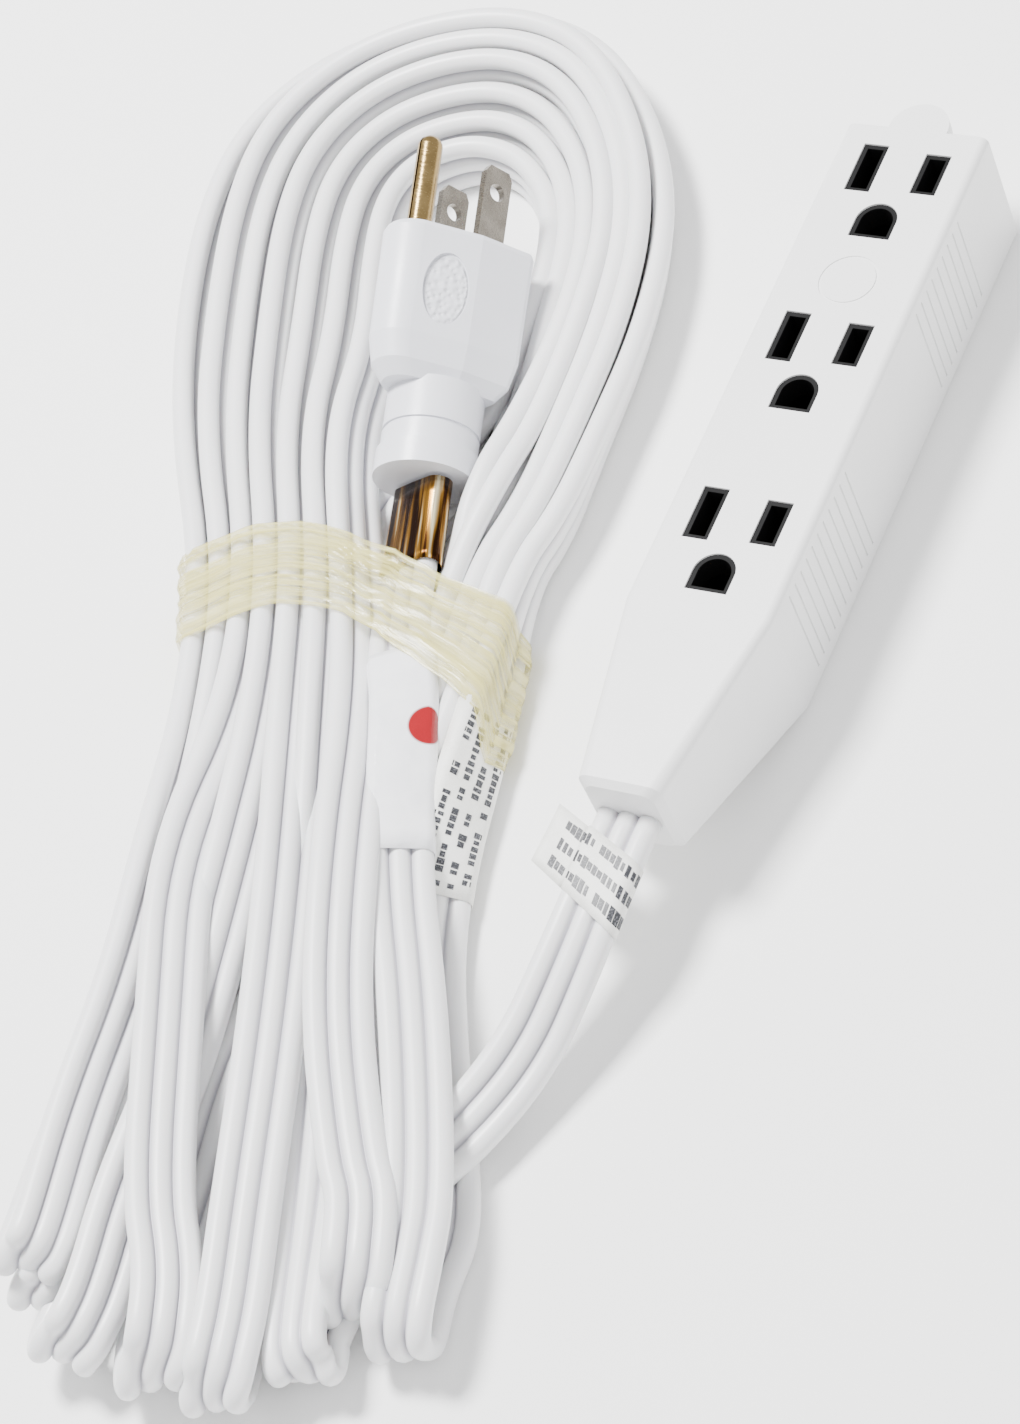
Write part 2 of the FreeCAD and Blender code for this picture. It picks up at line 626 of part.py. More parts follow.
def label_wrap(start, end, first, length, overhang=0.0):
    """Thin label folded round a straight run of the flat cord."""
    half_w, half_t = CORD_WIDTH / 2 + 0.1, LOBE_RADIUS + 0.1
    thick = LABEL_THICKNESS
    sleeve = block(-half_w - thick, half_w + thick, first, first + length, -half_t - thick, half_t + thick)
    sleeve = sleeve.cut(block(-half_w, half_w, first - 1, first + length + 1, -half_t, half_t))
    if overhang:
        tongue = block(half_w, half_w + thick + overhang, first, first + length, -thick, thick)
        sleeve = sleeve.fuse(tongue).removeSplitter()
    sleeve.Placement = run_frame(start, end)
    return sleeve


def strip_label(ends, width, base, upright):
    """Flat label laid on the hank, or stood against its side."""
    start, end = ends
    length = (end - start).Length
    if upright:
        plate = block(0, LABEL_THICKNESS, 0, length, base, base + width)
    else:
        plate = block(-width / 2, width / 2, 0, length, base, base + LABEL_THICKNESS)
    plate.Placement = run_frame(start, end)
    return plate


def build_cord():
    block_exit = V(0, END_Y, EXIT_HEIGHT)
    plug_exit = PLUG_PLACE.multVec(V(0, PLUG_REAR, NECK_OFFSET))
    block_lead = block_exit - V(0, TAIL_LEAD, 0)
    plug_lead = PLUG_PLACE.multVec(V(0, PLUG_REAR - TAIL_LEAD, NECK_OFFSET))
    block_route = [block_exit, block_lead] + [V(*point) for point in BLOCK_TAIL]
    plug_route = [plug_exit, plug_lead] + [V(*point) for point in PLUG_TAIL]
    hank = hank_solid()
    block_tube = cord_tube(block_route, "block_cord_tail").cut(hank)
    plug_tube = cord_tube(plug_route, "plug_cord_tail").cut(hank)
    notice = strip_label(NOTICE_ENDS, NOTICE_WIDTH, NOTICE_BASE, True)
    flag = label_wrap(block_exit, block_lead, 1.5, FLAG_LENGTH, FLAG_OVERHANG)
    foil = label_wrap(plug_exit, plug_lead, 0.2, FOIL_LENGTH)
    return {
        "cord_hank": hank,
        "block_cord_tail": block_tube,
        "plug_cord_tail": plug_tube,
        "hank_tape": tape_band(hank),
        "sleeve_label": strip_label(SLEEVE_ENDS, SLEEVE_WIDTH, HANK_NECK_HEIGHT, False),
        "notice_label": notice.cut(hank),
        "flag_label": flag.cut(block_tube),
        "foil_label": foil.cut([plug_tube, hank]),
    }


def main():
    os.makedirs("parts", exist_ok=True)
    shapes = {}
    shapes.update(build_block())
    shapes.update(build_plug())
    shapes.update(build_cord())
    for name, shape in shapes.items():
        save(name, shape)
    print(len(shapes), "nodes")


main()
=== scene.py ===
import math

import bpy
import numpy as np
from mathutils import Matrix, Vector


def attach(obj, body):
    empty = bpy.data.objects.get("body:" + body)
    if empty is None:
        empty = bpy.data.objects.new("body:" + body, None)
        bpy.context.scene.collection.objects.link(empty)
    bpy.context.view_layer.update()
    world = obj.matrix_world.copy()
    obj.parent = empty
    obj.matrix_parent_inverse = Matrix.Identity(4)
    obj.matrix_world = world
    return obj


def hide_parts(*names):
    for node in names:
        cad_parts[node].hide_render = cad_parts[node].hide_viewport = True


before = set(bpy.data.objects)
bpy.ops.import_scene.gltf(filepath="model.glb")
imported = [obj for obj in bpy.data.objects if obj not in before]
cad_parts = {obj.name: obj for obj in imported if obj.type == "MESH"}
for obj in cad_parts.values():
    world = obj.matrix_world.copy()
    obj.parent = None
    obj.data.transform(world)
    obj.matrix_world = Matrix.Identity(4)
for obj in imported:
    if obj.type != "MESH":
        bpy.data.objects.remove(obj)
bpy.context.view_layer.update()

bl_info = {
    "name": "Extension Cord",
    "version": (1, 0, 0),
    "blender": (4, 5, 0),
    "location": "3D View > Sidebar > Extension Cord",
    "description": "Makes a three-outlet extension cord with its cord wound into a hank",
    "category": "Object",
}

MM = 0.001

# the loose cord's centre line, in millimetres, and how its flat width stands:
# tilt 0 lies flat, 90 stands on edge, between them the top leans to the left
AXIS = (0.216, -0.976)
ACROSS = (0.976, 0.216)
NECK = (-73.0, -50.0)
# each strand crosses the neck at these two places along the hank's axis
BELOW_TAPE = 14
ABOVE_TAPE = -17
# the order in which the cord goes through its eight places in the fan, and the last one
WINDING = (5, 3, 2, 4, 1, 6, 0)
PLUG_STRAND = 7

EXIT = (0.0, -76.65, 17.46)
BLOCK_TAIL = [
    (0.0, -90.15, 17.46),
    (-1.4, -104.5, 13.6),
    (-4.0, -119.5, 8.8),
    (-9.5, -134.0, 6.8),
    (-16.5, -147.0, 6.6),
]
TAIL_TILTS = (0, 0, 14, 30, 22, 8)
PLUG_END = [
    ((-58.8, -52.0, 13.4), 0),
    ((-64.2, -40.5, 11.2), -16),
    ((-68.9, -26.9, 9.1), -26),
    ((-71.95, -13.9, 11.5), -29),
]

# each fold of the fan: where its end is, the upper and lower run's height, and its tilt
FOLDS = {
    5: (-17.5, -182.5, 11.4, 4.8, -14),
    3: (-59.5, -191.0, 13.4, 5.0, 40),
    2: (-41.0, -191.5, 17.4, 4.6, 30),
    4: (-29.5, -191.5, 15.0, 4.0, 20),
    0: (-70.5, -179.5, 17.0, 11.0, 40),
    6: (-13.0, -170.5, 17.2, 4.2, 22),
    1: (-69.0, -183.0, 10.4, 5.0, 38),
    7: (-3.3, -174.5, 13.6, 2.8, 6),
}
# upper runs of the fan, from the fold up to the neck
UPPER = {
    0: [(-74, -152, 16.0, 44), (-78, -126, 14.6, 46), (-86, -98, 12.8, 50)],
    1: [(-69, -156, 10.0, 38), (-72.5, -128, 9.4, 34), (-81.5, -98, 9.4, 36)],
    2: [(-52, -163, 17.6, 26), (-65, -133, 17.6, 24), (-79, -102, 16.8, 26)],
    3: [(-60, -163, 13.2, 38), (-62, -138, 12.8, 32), (-71, -97, 12.8, 30)],
    4: [(-37, -160, 15.0, 20), (-48, -128, 14.4, 22), (-60, -97, 13.4, 26)],
    5: [(-28, -158, 9.8, -6), (-39, -130, 9.2, 10), (-55, -97, 8.8, 20)],
    6: [(-21, -149, 17.4, 20), (-36, -124, 17.6, 22), (-47.2, -96, 19.0, 24)],
    7: [(-9, -150, 13.4, 10), (-24, -120, 13.2, 16), (-41.5, -91, 12.2, 24)],
}
# lower runs of the fan, from the neck down to the fold that the turn goes on to
LOWER = {
    5: [(-68, -97, 2.4, 0), (-64, -130, 2.4, 0), (-62, -165, 3.0, 8)],
    3: [(-57, -97, 2.4, 8), (-56.5, -130, 6.7, 0), (-50, -162, 6.7, 8)],
    2: [(-46.5, -97, 2.6, 12), (-44, -130, 2.4, 0), (-36, -162, 2.4, 0)],
    4: [(-70.5, -97, 6.8, 0), (-75, -128, 2.6, 0), (-71, -158, 2.4, 0)],
    0: [(-35, -97, 5.4, 30), (-20, -128, 2.4, 0), (-7, -150, 2.4, 0)],
    6: [(-84, -97, 3.2, 24), (-81.5, -126, 6.8, 32), (-76.5, -153, 11.2, 22)],
    1: [(-41.5, -97, 7.2, 24), (-31, -126, 6.7, 8), (-20, -150, 2.4, 0)],
}
# neck, below and above the tape: place across it, height and tilt
NECK_UP = {
    0: (-26.5, 6.6, 60), 1: (-21.2, 7.6, 56), 2: (-16.0, 10.2, 50), 3: (-10.5, 10.6, 48),
    4: (-5.0, 10.8, 46), 5: (1.2, 11.2, 46), 6: (8.2, 12.8, 42), 7: (17.0, 13.8, 16),
}
NECK_DOWN = {
    0: (30.4, 8.0, 62), 1: (25.2, 6.5, 86), 2: (21.0, 6.5, 90), 3: (16.8, 6.5, 90),
    4: (12.6, 6.5, 100), 5: (1.5, 2.4, 180), 6: (-11.0, 2.4, 180),
}
THROAT_UP = {
    0: (-31.0, 6.8, 70), 1: (-25.9, 7.2, 66), 2: (-20.8, 8.6, 62), 3: (-15.7, 10.2, 60),
    4: (-10.6, 10.6, 58), 5: (-5.5, 10.4, 58), 6: (-0.8, 10.0, 56),
}
THROAT_DOWN = {
    0: (30.6, 6.6, 96), 1: (26.6, 7.4, 96), 2: (22.6, 6.6, 96), 3: (18.6, 7.4, 96),
    4: (14.2, 5.0, 146), 5: (3.5, 2.4, 176), 6: (-8.6, 2.4, 180),
}
# the eye: middle lines of the outermost and innermost turns, clockwise from lower left
EYE_OUTER = [
    (-128, -8), (-141, 20), (-149.3, 47), (-149.8, 68), (-139, 86.5), (-121, 97),
    (-101, 102), (-81.5, 96), (-64, 78), (-52, 56), (-46.6, 30), (-45.4, 4), (-44.6, -14),
]
EYE_INNER = [
    (-92.5, -6), (-99, 18), (-107.5, 40), (-111, 53), (-109, 62), (-102, 67.5),
    (-94, 68.5), (-85.5, 65), (-77, 56), (-72.5, 43), (-70.5, 26), (-75.4, 4.6), (-86.5, -10),
]
# how far in from the outermost turn each turn of the eye lies, at each of those points
EYE_PLACE = {
    0: (0.00, 0.00, 0.00, 0.00, 0.00, 0.00, 0.00, 0.00, 0.00, 0.00, 0.00, 0.00, 0.00),
    1: (0.17, 0.19, 0.19, 0.18, 0.16, 0.13, 0.12, 0.12, 0.14, 0.16, 0.17, 0.14, 0.10),
    2: (0.34, 0.34, 0.34, 0.34, 0.30, 0.26, 0.25, 0.26, 0.29, 0.32, 0.34, 0.27, 0.19),
    3: (0.50, 0.49, 0.49, 0.49, 0.47, 0.43, 0.41, 0.43, 0.46, 0.48, 0.51, 0.39, 0.29),
    4: (0.67, 0.66, 0.66, 0.66, 0.65, 0.63, 0.61, 0.63, 0.65, 0.66, 0.67, 0.52, 0.39),
    5: (0.84, 0.83, 0.83, 0.83, 0.83, 0.82, 0.80, 0.81, 0.83, 0.83, 0.83, 0.63, 0.38),
    6: (1.00, 1.00, 1.00, 1.00, 1.00, 1.00, 1.00, 1.00, 1.00, 1.00, 1.00, 1.00, 1.00),
}
EYE_TILT = (66, 68, 70, 74, 80, 86, 90, 94, 102, 110, 114, 110, 100)
EYE_HEIGHT = {0: 6.4, 1: 7.4, 2: 6.6, 3: 8.0, 4: 6.6, 5: 6.4, 6: 6.3}
EYE_RISE = {0: 0.0, 1: 4.6, 2: 4.0, 3: 2.6, 4: 1.6, 5: 0.4, 6: 0.0}
EYE_ARCH = (0.1, 0.2, 0.4, 0.6, 0.8, 1.0, 1.0, 1.0, 0.8, 0.5, 0.3, 0.1, 0.0)
# where the inner turns dip under the plug's neck: height and tilt at the last points
EYE_DIP = {
    (3, 12): (10.6, 98), (4, 12): (10.6, 98), (4, 11): (8.4, 106),
    (5, 11): (5.2, 140), (5, 12): (2.4, 176),
    (6, 10): (6.2, 124), (6, 11): (2.4, 178), (6, 12): (2.4, 180),
    (4, 0): (8.0, 66), (5, 0): (9.4, 64), (6, 0): (10.4, 62),
}

# the tape's edges along the hank's axis, in millimetres,
# by direction in degrees: 0 right, 90 up, 180 left
TAPE_TURN = (0, 8, 16, 28, 50, 90, 130, 152, 164, 172, 180, 225, 270, 315, 360)
TAPE_UPPER = (-4, -7, -11, -15, -18, -20, -23, -25, -25, -22, -19, -14, -10, -6, -4)
TAPE_LOWER = (24, 17, 11, 6, 1, -3, -5, -6, -4, -1, 1, 7, 12, 19, 24)


def spot(across, along, height, tilt):
    """A point of the neck, across and along the hank's own axis."""
    x = NECK[0] + across * ACROSS[0] + along * AXIS[0]
    y = NECK[1] + across * ACROSS[1] + along * AXIS[1]
    return (x, y, height, tilt)


def fold(slot):
    """The half turn at the end of one strand: up round a bend, square to its width."""
    x, y, top, low, tilt = FOLDS[slot]
    bend = (top - low) / 2
    middle = (top + low) / 2
    upper = UPPER[slot][0]
    run = math.hypot(x - upper[0], y - upper[1])
    ux, uy = (x - upper[0]) / run, (y - upper[1]) / run
    lean = math.tan(math.radians(tilt))
    points = []
    for out, rise in ((-1.4, -1), (0.42, -1), (1, -0.42), (1, 0.42), (0.42, 1), (-1.4, 1)):
        step = (out - 1) * bend
        shift = rise * bend * lean
        place = (x + ux * step - uy * shift, y + uy * step + ux * shift)
        points.append(place + (middle + rise * bend, tilt))
    return points


def eye(slot):
    """One turn over the eye, from its lower left round to its lower right."""
    points = []
    for index, (outer, inner, place) in enumerate(zip(EYE_OUTER, EYE_INNER, EYE_PLACE[slot])):
        x = outer[0] + (inner[0] - outer[0]) * place
        y = outer[1] + (inner[1] - outer[1]) * place
        height = EYE_HEIGHT[slot] + EYE_RISE[slot] * EYE_ARCH[index]
        height, tilt = EYE_DIP.get((slot, index), (height, EYE_TILT[index]))
        points.append((x, y, height, tilt))
    return points


def hank_route():
    """Every control point of the cord: x, y, height and tilt."""
    points = [EXIT + (TAIL_TILTS[0],)]
    for place, tilt in zip(BLOCK_TAIL, TAIL_TILTS[1:]):
        points.append(place + (tilt,))
    for slot in WINDING:
        points += fold(slot)
        points += UPPER[slot]
        points.append(spot(NECK_UP[slot][0], BELOW_TAPE, *NECK_UP[slot][1:]))
        points.append(spot(THROAT_UP[slot][0], ABOVE_TAPE, *THROAT_UP[slot][1:]))
        points += eye(slot)
        points.append(spot(THROAT_DOWN[slot][0], ABOVE_TAPE, *THROAT_DOWN[slot][1:]))
        points.append(spot(NECK_DOWN[slot][0], BELOW_TAPE, *NECK_DOWN[slot][1:]))
        points += LOWER[slot]
    points += fold(PLUG_STRAND)
    points += UPPER[PLUG_STRAND]
    points.append(spot(NECK_UP[PLUG_STRAND][0], BELOW_TAPE, *NECK_UP[PLUG_STRAND][1:]))
    for place, tilt in PLUG_END:
        points.append(place + (tilt,))
    return points


# ---- small helpers -----------------------------------------------------------
def linear(text):
    """An sRGB hex colour as linear red, green, blue and one."""
    parts = [int(text[i:i + 2], 16) / 255 for i in (1, 3, 5)]
    return tuple(c / 12.92 if c <= 0.04045 else ((c + 0.055) / 1.055) ** 2.4 for c in parts) + (1.0,)


def fill(made, inputs):
    """Sets or links a node's inputs; each is a value, a socket or a node's first output."""
    for key, value in inputs.items():
        if isinstance(value, bpy.types.Node):
            value = value.outputs[0]
        if isinstance(value, bpy.types.NodeSocket):
            made.id_data.links.new(value, made.inputs[key])
        else:
            made.inputs[key].default_value = value


def node(tree, kind, settings=None, inputs=None):
    """Adds one node with its settings and inputs."""
    made = tree.nodes.new(kind)
    for key, value in (settings or {}).items():
        setattr(made, key, value)
    fill(made, inputs or {})
    return made


def new_material(name):
    """An empty material with its output node and shader."""
    made = bpy.data.materials.new(name)
    made.use_nodes = True
    tree = made.node_tree
    tree.nodes.clear()
    shader = node(tree, "ShaderNodeBsdfPrincipled")
    node(tree, "ShaderNodeOutputMaterial", inputs={"Surface": shader})
    return made, tree, shader


def mesh_object(name, verts, faces, smooth=True):
    """A new object in the scene from points in metres and faces."""
    mesh = bpy.data.meshes.new(name)
    mesh.from_pydata([tuple(v) for v in verts], [], faces)
    mesh.validate()
    mesh.update()
    mesh.polygons.foreach_set("use_smooth", [smooth] * len(mesh.polygons))
    made = bpy.data.objects.new(name, mesh)
    bpy.context.scene.collection.objects.link(made)
    return made


def nurbs_line(name, points):
    """Points read from a smooth open NURBS line that has the given control points."""
    curve = bpy.data.curves.new(name, "CURVE")
    curve.dimensions = "3D"
    curve.resolution_u = 8
    spline = curve.splines.new("NURBS")
    spline.points.add(len(points) - 1)
    for place, point in zip(points, spline.points):
        point.co = (place[0], place[1], place[2], 1.0)
    spline.order_u = 3
    spline.use_endpoint_u = True
    carrier = bpy.data.objects.new(name, curve)
    bpy.context.scene.collection.objects.link(carrier)
    line = bpy.data.meshes.new_from_object(carrier)
    found = np.array([v.co[:] for v in line.vertices])
    bpy.data.meshes.remove(line)
    bpy.data.objects.remove(carrier)
    bpy.data.curves.remove(curve)
    return found


def unit(rows):
    return rows / np.linalg.norm(rows, axis=1)[:, None]


def lobed_section(radius, pitch, web):
    """Outline of the three-lobed cord: across and thickness, anticlockwise."""
    top = []
    for centre, first, last, count in ((pitch, 0, 142, 8), (0, 38, 142, 5), (-pitch, 38, 180, 8)):
        for step in range(count):
            angle = math.radians(first + (last - first) * step / (count - 1))
            top.append((centre + radius * math.cos(angle), radius * math.sin(angle)))
        if centre > -pitch:
            top.append((centre - pitch / 2, web))
    under = [(x, -y) for x, y in reversed(top[1:-1])]
    return top + under


def keep_off_floor(side, height, section):
    """Flattens the width direction where a leaning ribbon's lower edge would pass the floor."""
    half = max(x for x, y in section)
    thick = max(y for x, y in section)
    room = np.clip((height - thick - 0.1 * MM) / (half - thick), 0, 1)
    rise = np.clip(side[:, 2], -room, room)
    level = np.hypot(side[:, 0], side[:, 1])
    scale = np.sqrt(1 - rise ** 2) / np.maximum(level, 1e-6)
    return unit(np.stack([side[:, 0] * scale, side[:, 1] * scale, rise], axis=1))


def stance(centre, across, section):
    """The width and thickness directions of a flat piece along a line."""
    along = unit(np.gradient(centre, axis=0))
    side = across - (across * along).sum(1)[:, None] * along
    side = keep_off_floor(unit(side), centre[:, 2], section)
    return side, np.cross(along, side)


def travelled(points):
    return np.concatenate([[0.0], np.cumsum(np.linalg.norm(np.diff(points, axis=0), axis=1))])


def write_run(made, run):
    """Writes each face corner's way along the piece and round it, in metres, as the UV map."""
    layer = made.data.uv_layers.new(name="run")
    layer.data.foreach_set("uv", np.asarray(run, dtype=np.float32).ravel())


def ribbon(name, centre, across, section):
    """A closed ribbon with the given section along a line; across is its width direction."""
    side, normal = stance(centre, across, section)
    shape = np.array(section)
    rings = centre[:, None] + side[:, None] * shape[None, :, 0:1]
    rings = rings + normal[:, None] * shape[None, :, 1:2]
    count = len(shape)
    faces = []
    for ring in range(len(centre) - 1):
        base = ring * count
        for i in range(count):
            j = (i + 1) % count
            faces.append((base + i, base + j, base + count + j, base + count + i))
    last = (len(centre) - 1) * count
    faces.append(tuple(range(count))[::-1])
    faces.append(tuple(last + i for i in range(count)))
    made = mesh_object(name, rings.reshape(-1, 3), faces)
    loops = np.empty(len(made.data.loops), dtype=np.int64)
    made.data.loops.foreach_get("vertex_index", loops)
    travel = travelled(centre)
    around = travelled(shape)
    write_run(made, np.stack([travel[loops // count], around[loops % count]], axis=1))
    # how deep each point lies in a groove, for the painted shade in the grooves
    sunk = 1 - np.abs(shape[:, 1]) / np.abs(shape[:, 1]).max()
    sunk[np.abs(shape[:, 0]) > np.abs(shape[:, 0]).max() * 0.62] = 0
    depth = made.data.attributes.new("groove", "FLOAT", "POINT")
    depth.data.foreach_set("value", np.tile(sunk, len(centre)).astype(np.float32))
    return made


def film(name, outer, inner, closed):
    """A thin closed wall from matching rows of outer and inner points; closed joins each row's ends."""
    rows, count = outer.shape[:2]
    spans = count if closed else count - 1
    travel = travelled(outer[:, count // 2])
    middle = outer[rows // 2]
    around = travelled(np.concatenate([middle, middle[:1]]) if closed else middle)
    faces, run = [], []

    def quad(corners):
        """One face; only the outer wall's faces keep a map of their own."""
        shown = all(wall == 0 for row, k, wall in corners)
        faces.append([(row * 2 + wall) * count + k % count for row, k, wall in corners])
        run.extend((travel[row], around[k] if shown else -1 - around[k]) for row, k, wall in corners)

    for row in range(rows - 1):
        for k in range(spans):
            quad(((row, k, 0), (row, k + 1, 0), (row + 1, k + 1, 0), (row + 1, k, 0)))
            quad(((row, k + 1, 1), (row, k, 1), (row + 1, k, 1), (row + 1, k + 1, 1)))
        if not closed:
            end = count - 1
            quad(((row, 0, 1), (row, 0, 0), (row + 1, 0, 0), (row + 1, 0, 1)))
            quad(((row, end, 0), (row, end, 1), (row + 1, end, 1), (row + 1, end, 0)))
    last = rows - 1
    for k in range(spans):
        quad(((0, k + 1, 0), (0, k, 0), (0, k, 1), (0, k + 1, 1)))
        quad(((last, k, 0), (last, k + 1, 0), (last, k + 1, 1), (last, k, 1)))
    made = mesh_object(name, np.stack([outer, inner], axis=1).reshape(-1, 3), faces)
    write_run(made, run)
    return made


def wrap(name, centre, across, outline, thickness, closed, slant=0.0):
    """A film whose outline is carried along a line; slant moves it along for each step across."""
    shape = np.array(outline)
    turn = np.roll(shape, -1, axis=0) - np.roll(shape, 1, axis=0)
    if not closed:
        turn = np.gradient(shape, axis=0)
    turn = unit(turn)
    inside = shape - np.stack([turn[:, 1], -turn[:, 0]], axis=1) * thickness
    side, normal = stance(centre, across, shape)
    skew = side + slant * unit(np.gradient(centre, axis=0))
    walls = []
    for ring in (shape, inside):
        wide = skew[:, None] * ring[None, :, 0:1]
        walls.append(centre[:, None] + wide + normal[:, None] * ring[None, :, 1:2])
    return film(name, walls[0], walls[1], closed)


def stadium(half, thick, first=0, last=360, steps=24):
    """Part of a flat rounded outline, anticlockwise between two angles in degrees."""
    points = []
    for step in range(steps):
        share = step / (steps if last - first == 360 else steps - 1)
        angle = math.radians(first + (last - first) * share)
        reach = half - thick
        shift = reach if math.cos(angle) > 1e-6 else -reach if math.cos(angle) < -1e-6 else 0.0
        points.append((shift + thick * math.cos(angle), thick * math.sin(angle)))
    return points


def between(line, start, end):
    """The line's points from the one nearest start to the one nearest end, in millimetres."""
    nearest = []
    for place in (start, end):
        nearest.append(int(np.argmin(np.linalg.norm(line - np.array(place) * MM, axis=1))))
    low, high = sorted(nearest)
    return slice(low, high + 1)


def route_frames():
    """Control points of the cord's line, in metres, and its width directions."""
    rows = np.array(hank_route())
    centre = rows[:, :3] * MM
    tilt = np.radians(rows[:, 3])
    heading = np.gradient(centre, axis=0)
    side = np.zeros_like(centre)
    for i, (hx, hy, hz) in enumerate(heading):
        flat = math.hypot(hx, hy)
        if flat < 1e-6:
            side[i] = side[i - 1]
            continue
        side[i] = (hy / flat, -hx / flat, 0)
        if side[i][0] < 0:
            side[i] = -side[i]
    up = np.array([0, 0, 1.0])
    width = np.cos(tilt)[:, None] * side - np.sin(tilt)[:, None] * up
    for i in range(1, len(width)):
        if width[i] @ width[i - 1] < 0:
            width[i] = -width[i]
    return centre, width


# ---- sizes and colours a user may change --------------------------------------
def panel_length(name, description, metres):
    """A length in the panel."""
    return bpy.props.FloatProperty(
        name=name, description=description, default=metres, unit="LENGTH")


def panel_colour(name, description, text):
    """A colour in the panel."""
    return bpy.props.FloatVectorProperty(
        name=name, description=description, default=linear(text), size=4, subtype="COLOR")


class CordSizes(bpy.types.PropertyGroup):
    lobe_radius: panel_length("Lobe radius", "Radius of each of the cord's three lobes", 0.0021)
    lobe_pitch: panel_length("Lobe pitch", "From one lobe's middle to the next", 0.0039)
    web: panel_length("Web", "Half the thickness between two lobes", 0.0008)
    length: panel_length("Cord length", "Whole length of the loose cord", 4.52)
    film: panel_length("Film", "Thickness of the labels' film and paper", 0.00018)
    wrinkle: panel_length("Wrinkle", "How far the tape's folds stand out", 0.0007)
    strands: bpy.props.IntProperty(
        name="Tape folds", description="Rolled folds that run along the tape", default=6)
    print_height: panel_length("Print height", "Height of the labels' printed bars", 0.0015)


class CordColours(bpy.types.PropertyGroup):
    cord: panel_colour("Cord", "Cord jacket", "#E9E9E8")
    block: panel_colour("Block", "Moulded block", "#EDEDEC")
    plug: panel_colour("Plug", "Moulded plug", "#E2E3E8")
    tape: panel_colour("Tape", "Film tape round the hank", "#CFC24E")
    foil: panel_colour("Foil", "Foil label's gold", "#9A6E2C")
    spot: panel_colour("Spot", "Round spot on the film label", "#8E0010")
    ink: panel_colour("Ink", "Printed bars", "#2B2C31")


# ---- materials ----------------------------------------------------------------
def moulded_vinyl(name, colour, shade, roughness, grain):
    """Soft PVC from a spark-eroded steel mould: satin, a fine orange-peel grain, faintly uneven."""
    made, tree, shader = new_material(name)
    place = node(tree, "ShaderNodeTexCoord").outputs["Object"]
    # slow clouds some 14 mm wide, where the plasticiser has dulled the skin
    cloud = node(tree, "ShaderNodeTexNoise", inputs={"Vector": place, "Scale": 70.0, "Detail": 3.0})
    tone = node(tree, "ShaderNodeMix", {"data_type": "RGBA"}, {0: cloud, 6: colour, 7: shade})
    gloss = node(tree, "ShaderNodeMapRange", inputs={
        "Value": cloud, "From Min": 0.3, "From Max": 0.7,
        "To Min": roughness - 0.05, "To Max": roughness + 0.07})
    fine = node(tree, "ShaderNodeTexNoise", inputs={"Vector": place, "Scale": 1 / grain, "Detail": 2.0})
    bump = node(tree, "ShaderNodeBump", inputs={
        "Height": fine, "Strength": 0.35, "Distance": grain / 12})
    fill(shader, {"Roughness": gloss, "IOR": 1.53, "Base Color": tone.outputs[2], "Normal": bump})
    return made


def stipple_oval(material, middle, along, across, reach):
    """Adds a coarse pebbled grain inside an oval, where the mould was etched."""
    tree = material.node_tree
    shader = next(n for n in tree.nodes if n.type == "BSDF_PRINCIPLED")
    place = node(tree, "ShaderNodeTexCoord").outputs["Object"]
    away = node(tree, "ShaderNodeVectorMath", {"operation": "SUBTRACT"}, {0: place, 1: middle})
    parts = []
    through = Vector(along).cross(Vector(across))
    for way, half in ((along, reach[0]), (across, reach[1]), (through, reach[2])):
        share = node(tree, "ShaderNodeVectorMath", {"operation": "DOT_PRODUCT"}, {
            0: away, 1: tuple(Vector(way).normalized() / half)})
        square = node(tree, "ShaderNodeMath", {"operation": "POWER"}, {
            0: share.outputs["Value"], 1: 2.0})
        parts.append(square.outputs[0])
    oval = node(tree, "ShaderNodeMath", {"operation": "ADD"}, {0: parts[0], 1: parts[1]})
    total = node(tree, "ShaderNodeMath", {"operation": "ADD"}, {0: oval, 1: parts[2]})
    inside = node(tree, "ShaderNodeMapRange", inputs={
        "Value": total, "From Min": 0.85, "From Max": 1.0, "To Min": 1.0, "To Max": 0.0})
    # pebbles 1.1 mm across
    pebble = node(tree, "ShaderNodeTexVoronoi", {"feature": "SMOOTH_F1"}, {
        "Vector": place, "Scale": 900.0})
    height = node(tree, "ShaderNodeMath", {"operation": "MULTIPLY"}, {
        0: pebble.outputs["Distance"], 1: inside})
    first = shader.inputs["Normal"].links[0].from_socket
    bump = node(tree, "ShaderNodeBump", inputs={
        "Height": height, "Normal": first, "Strength": 0.9, "Distance": 0.0006})
    fill(shader, {"Normal": bump})


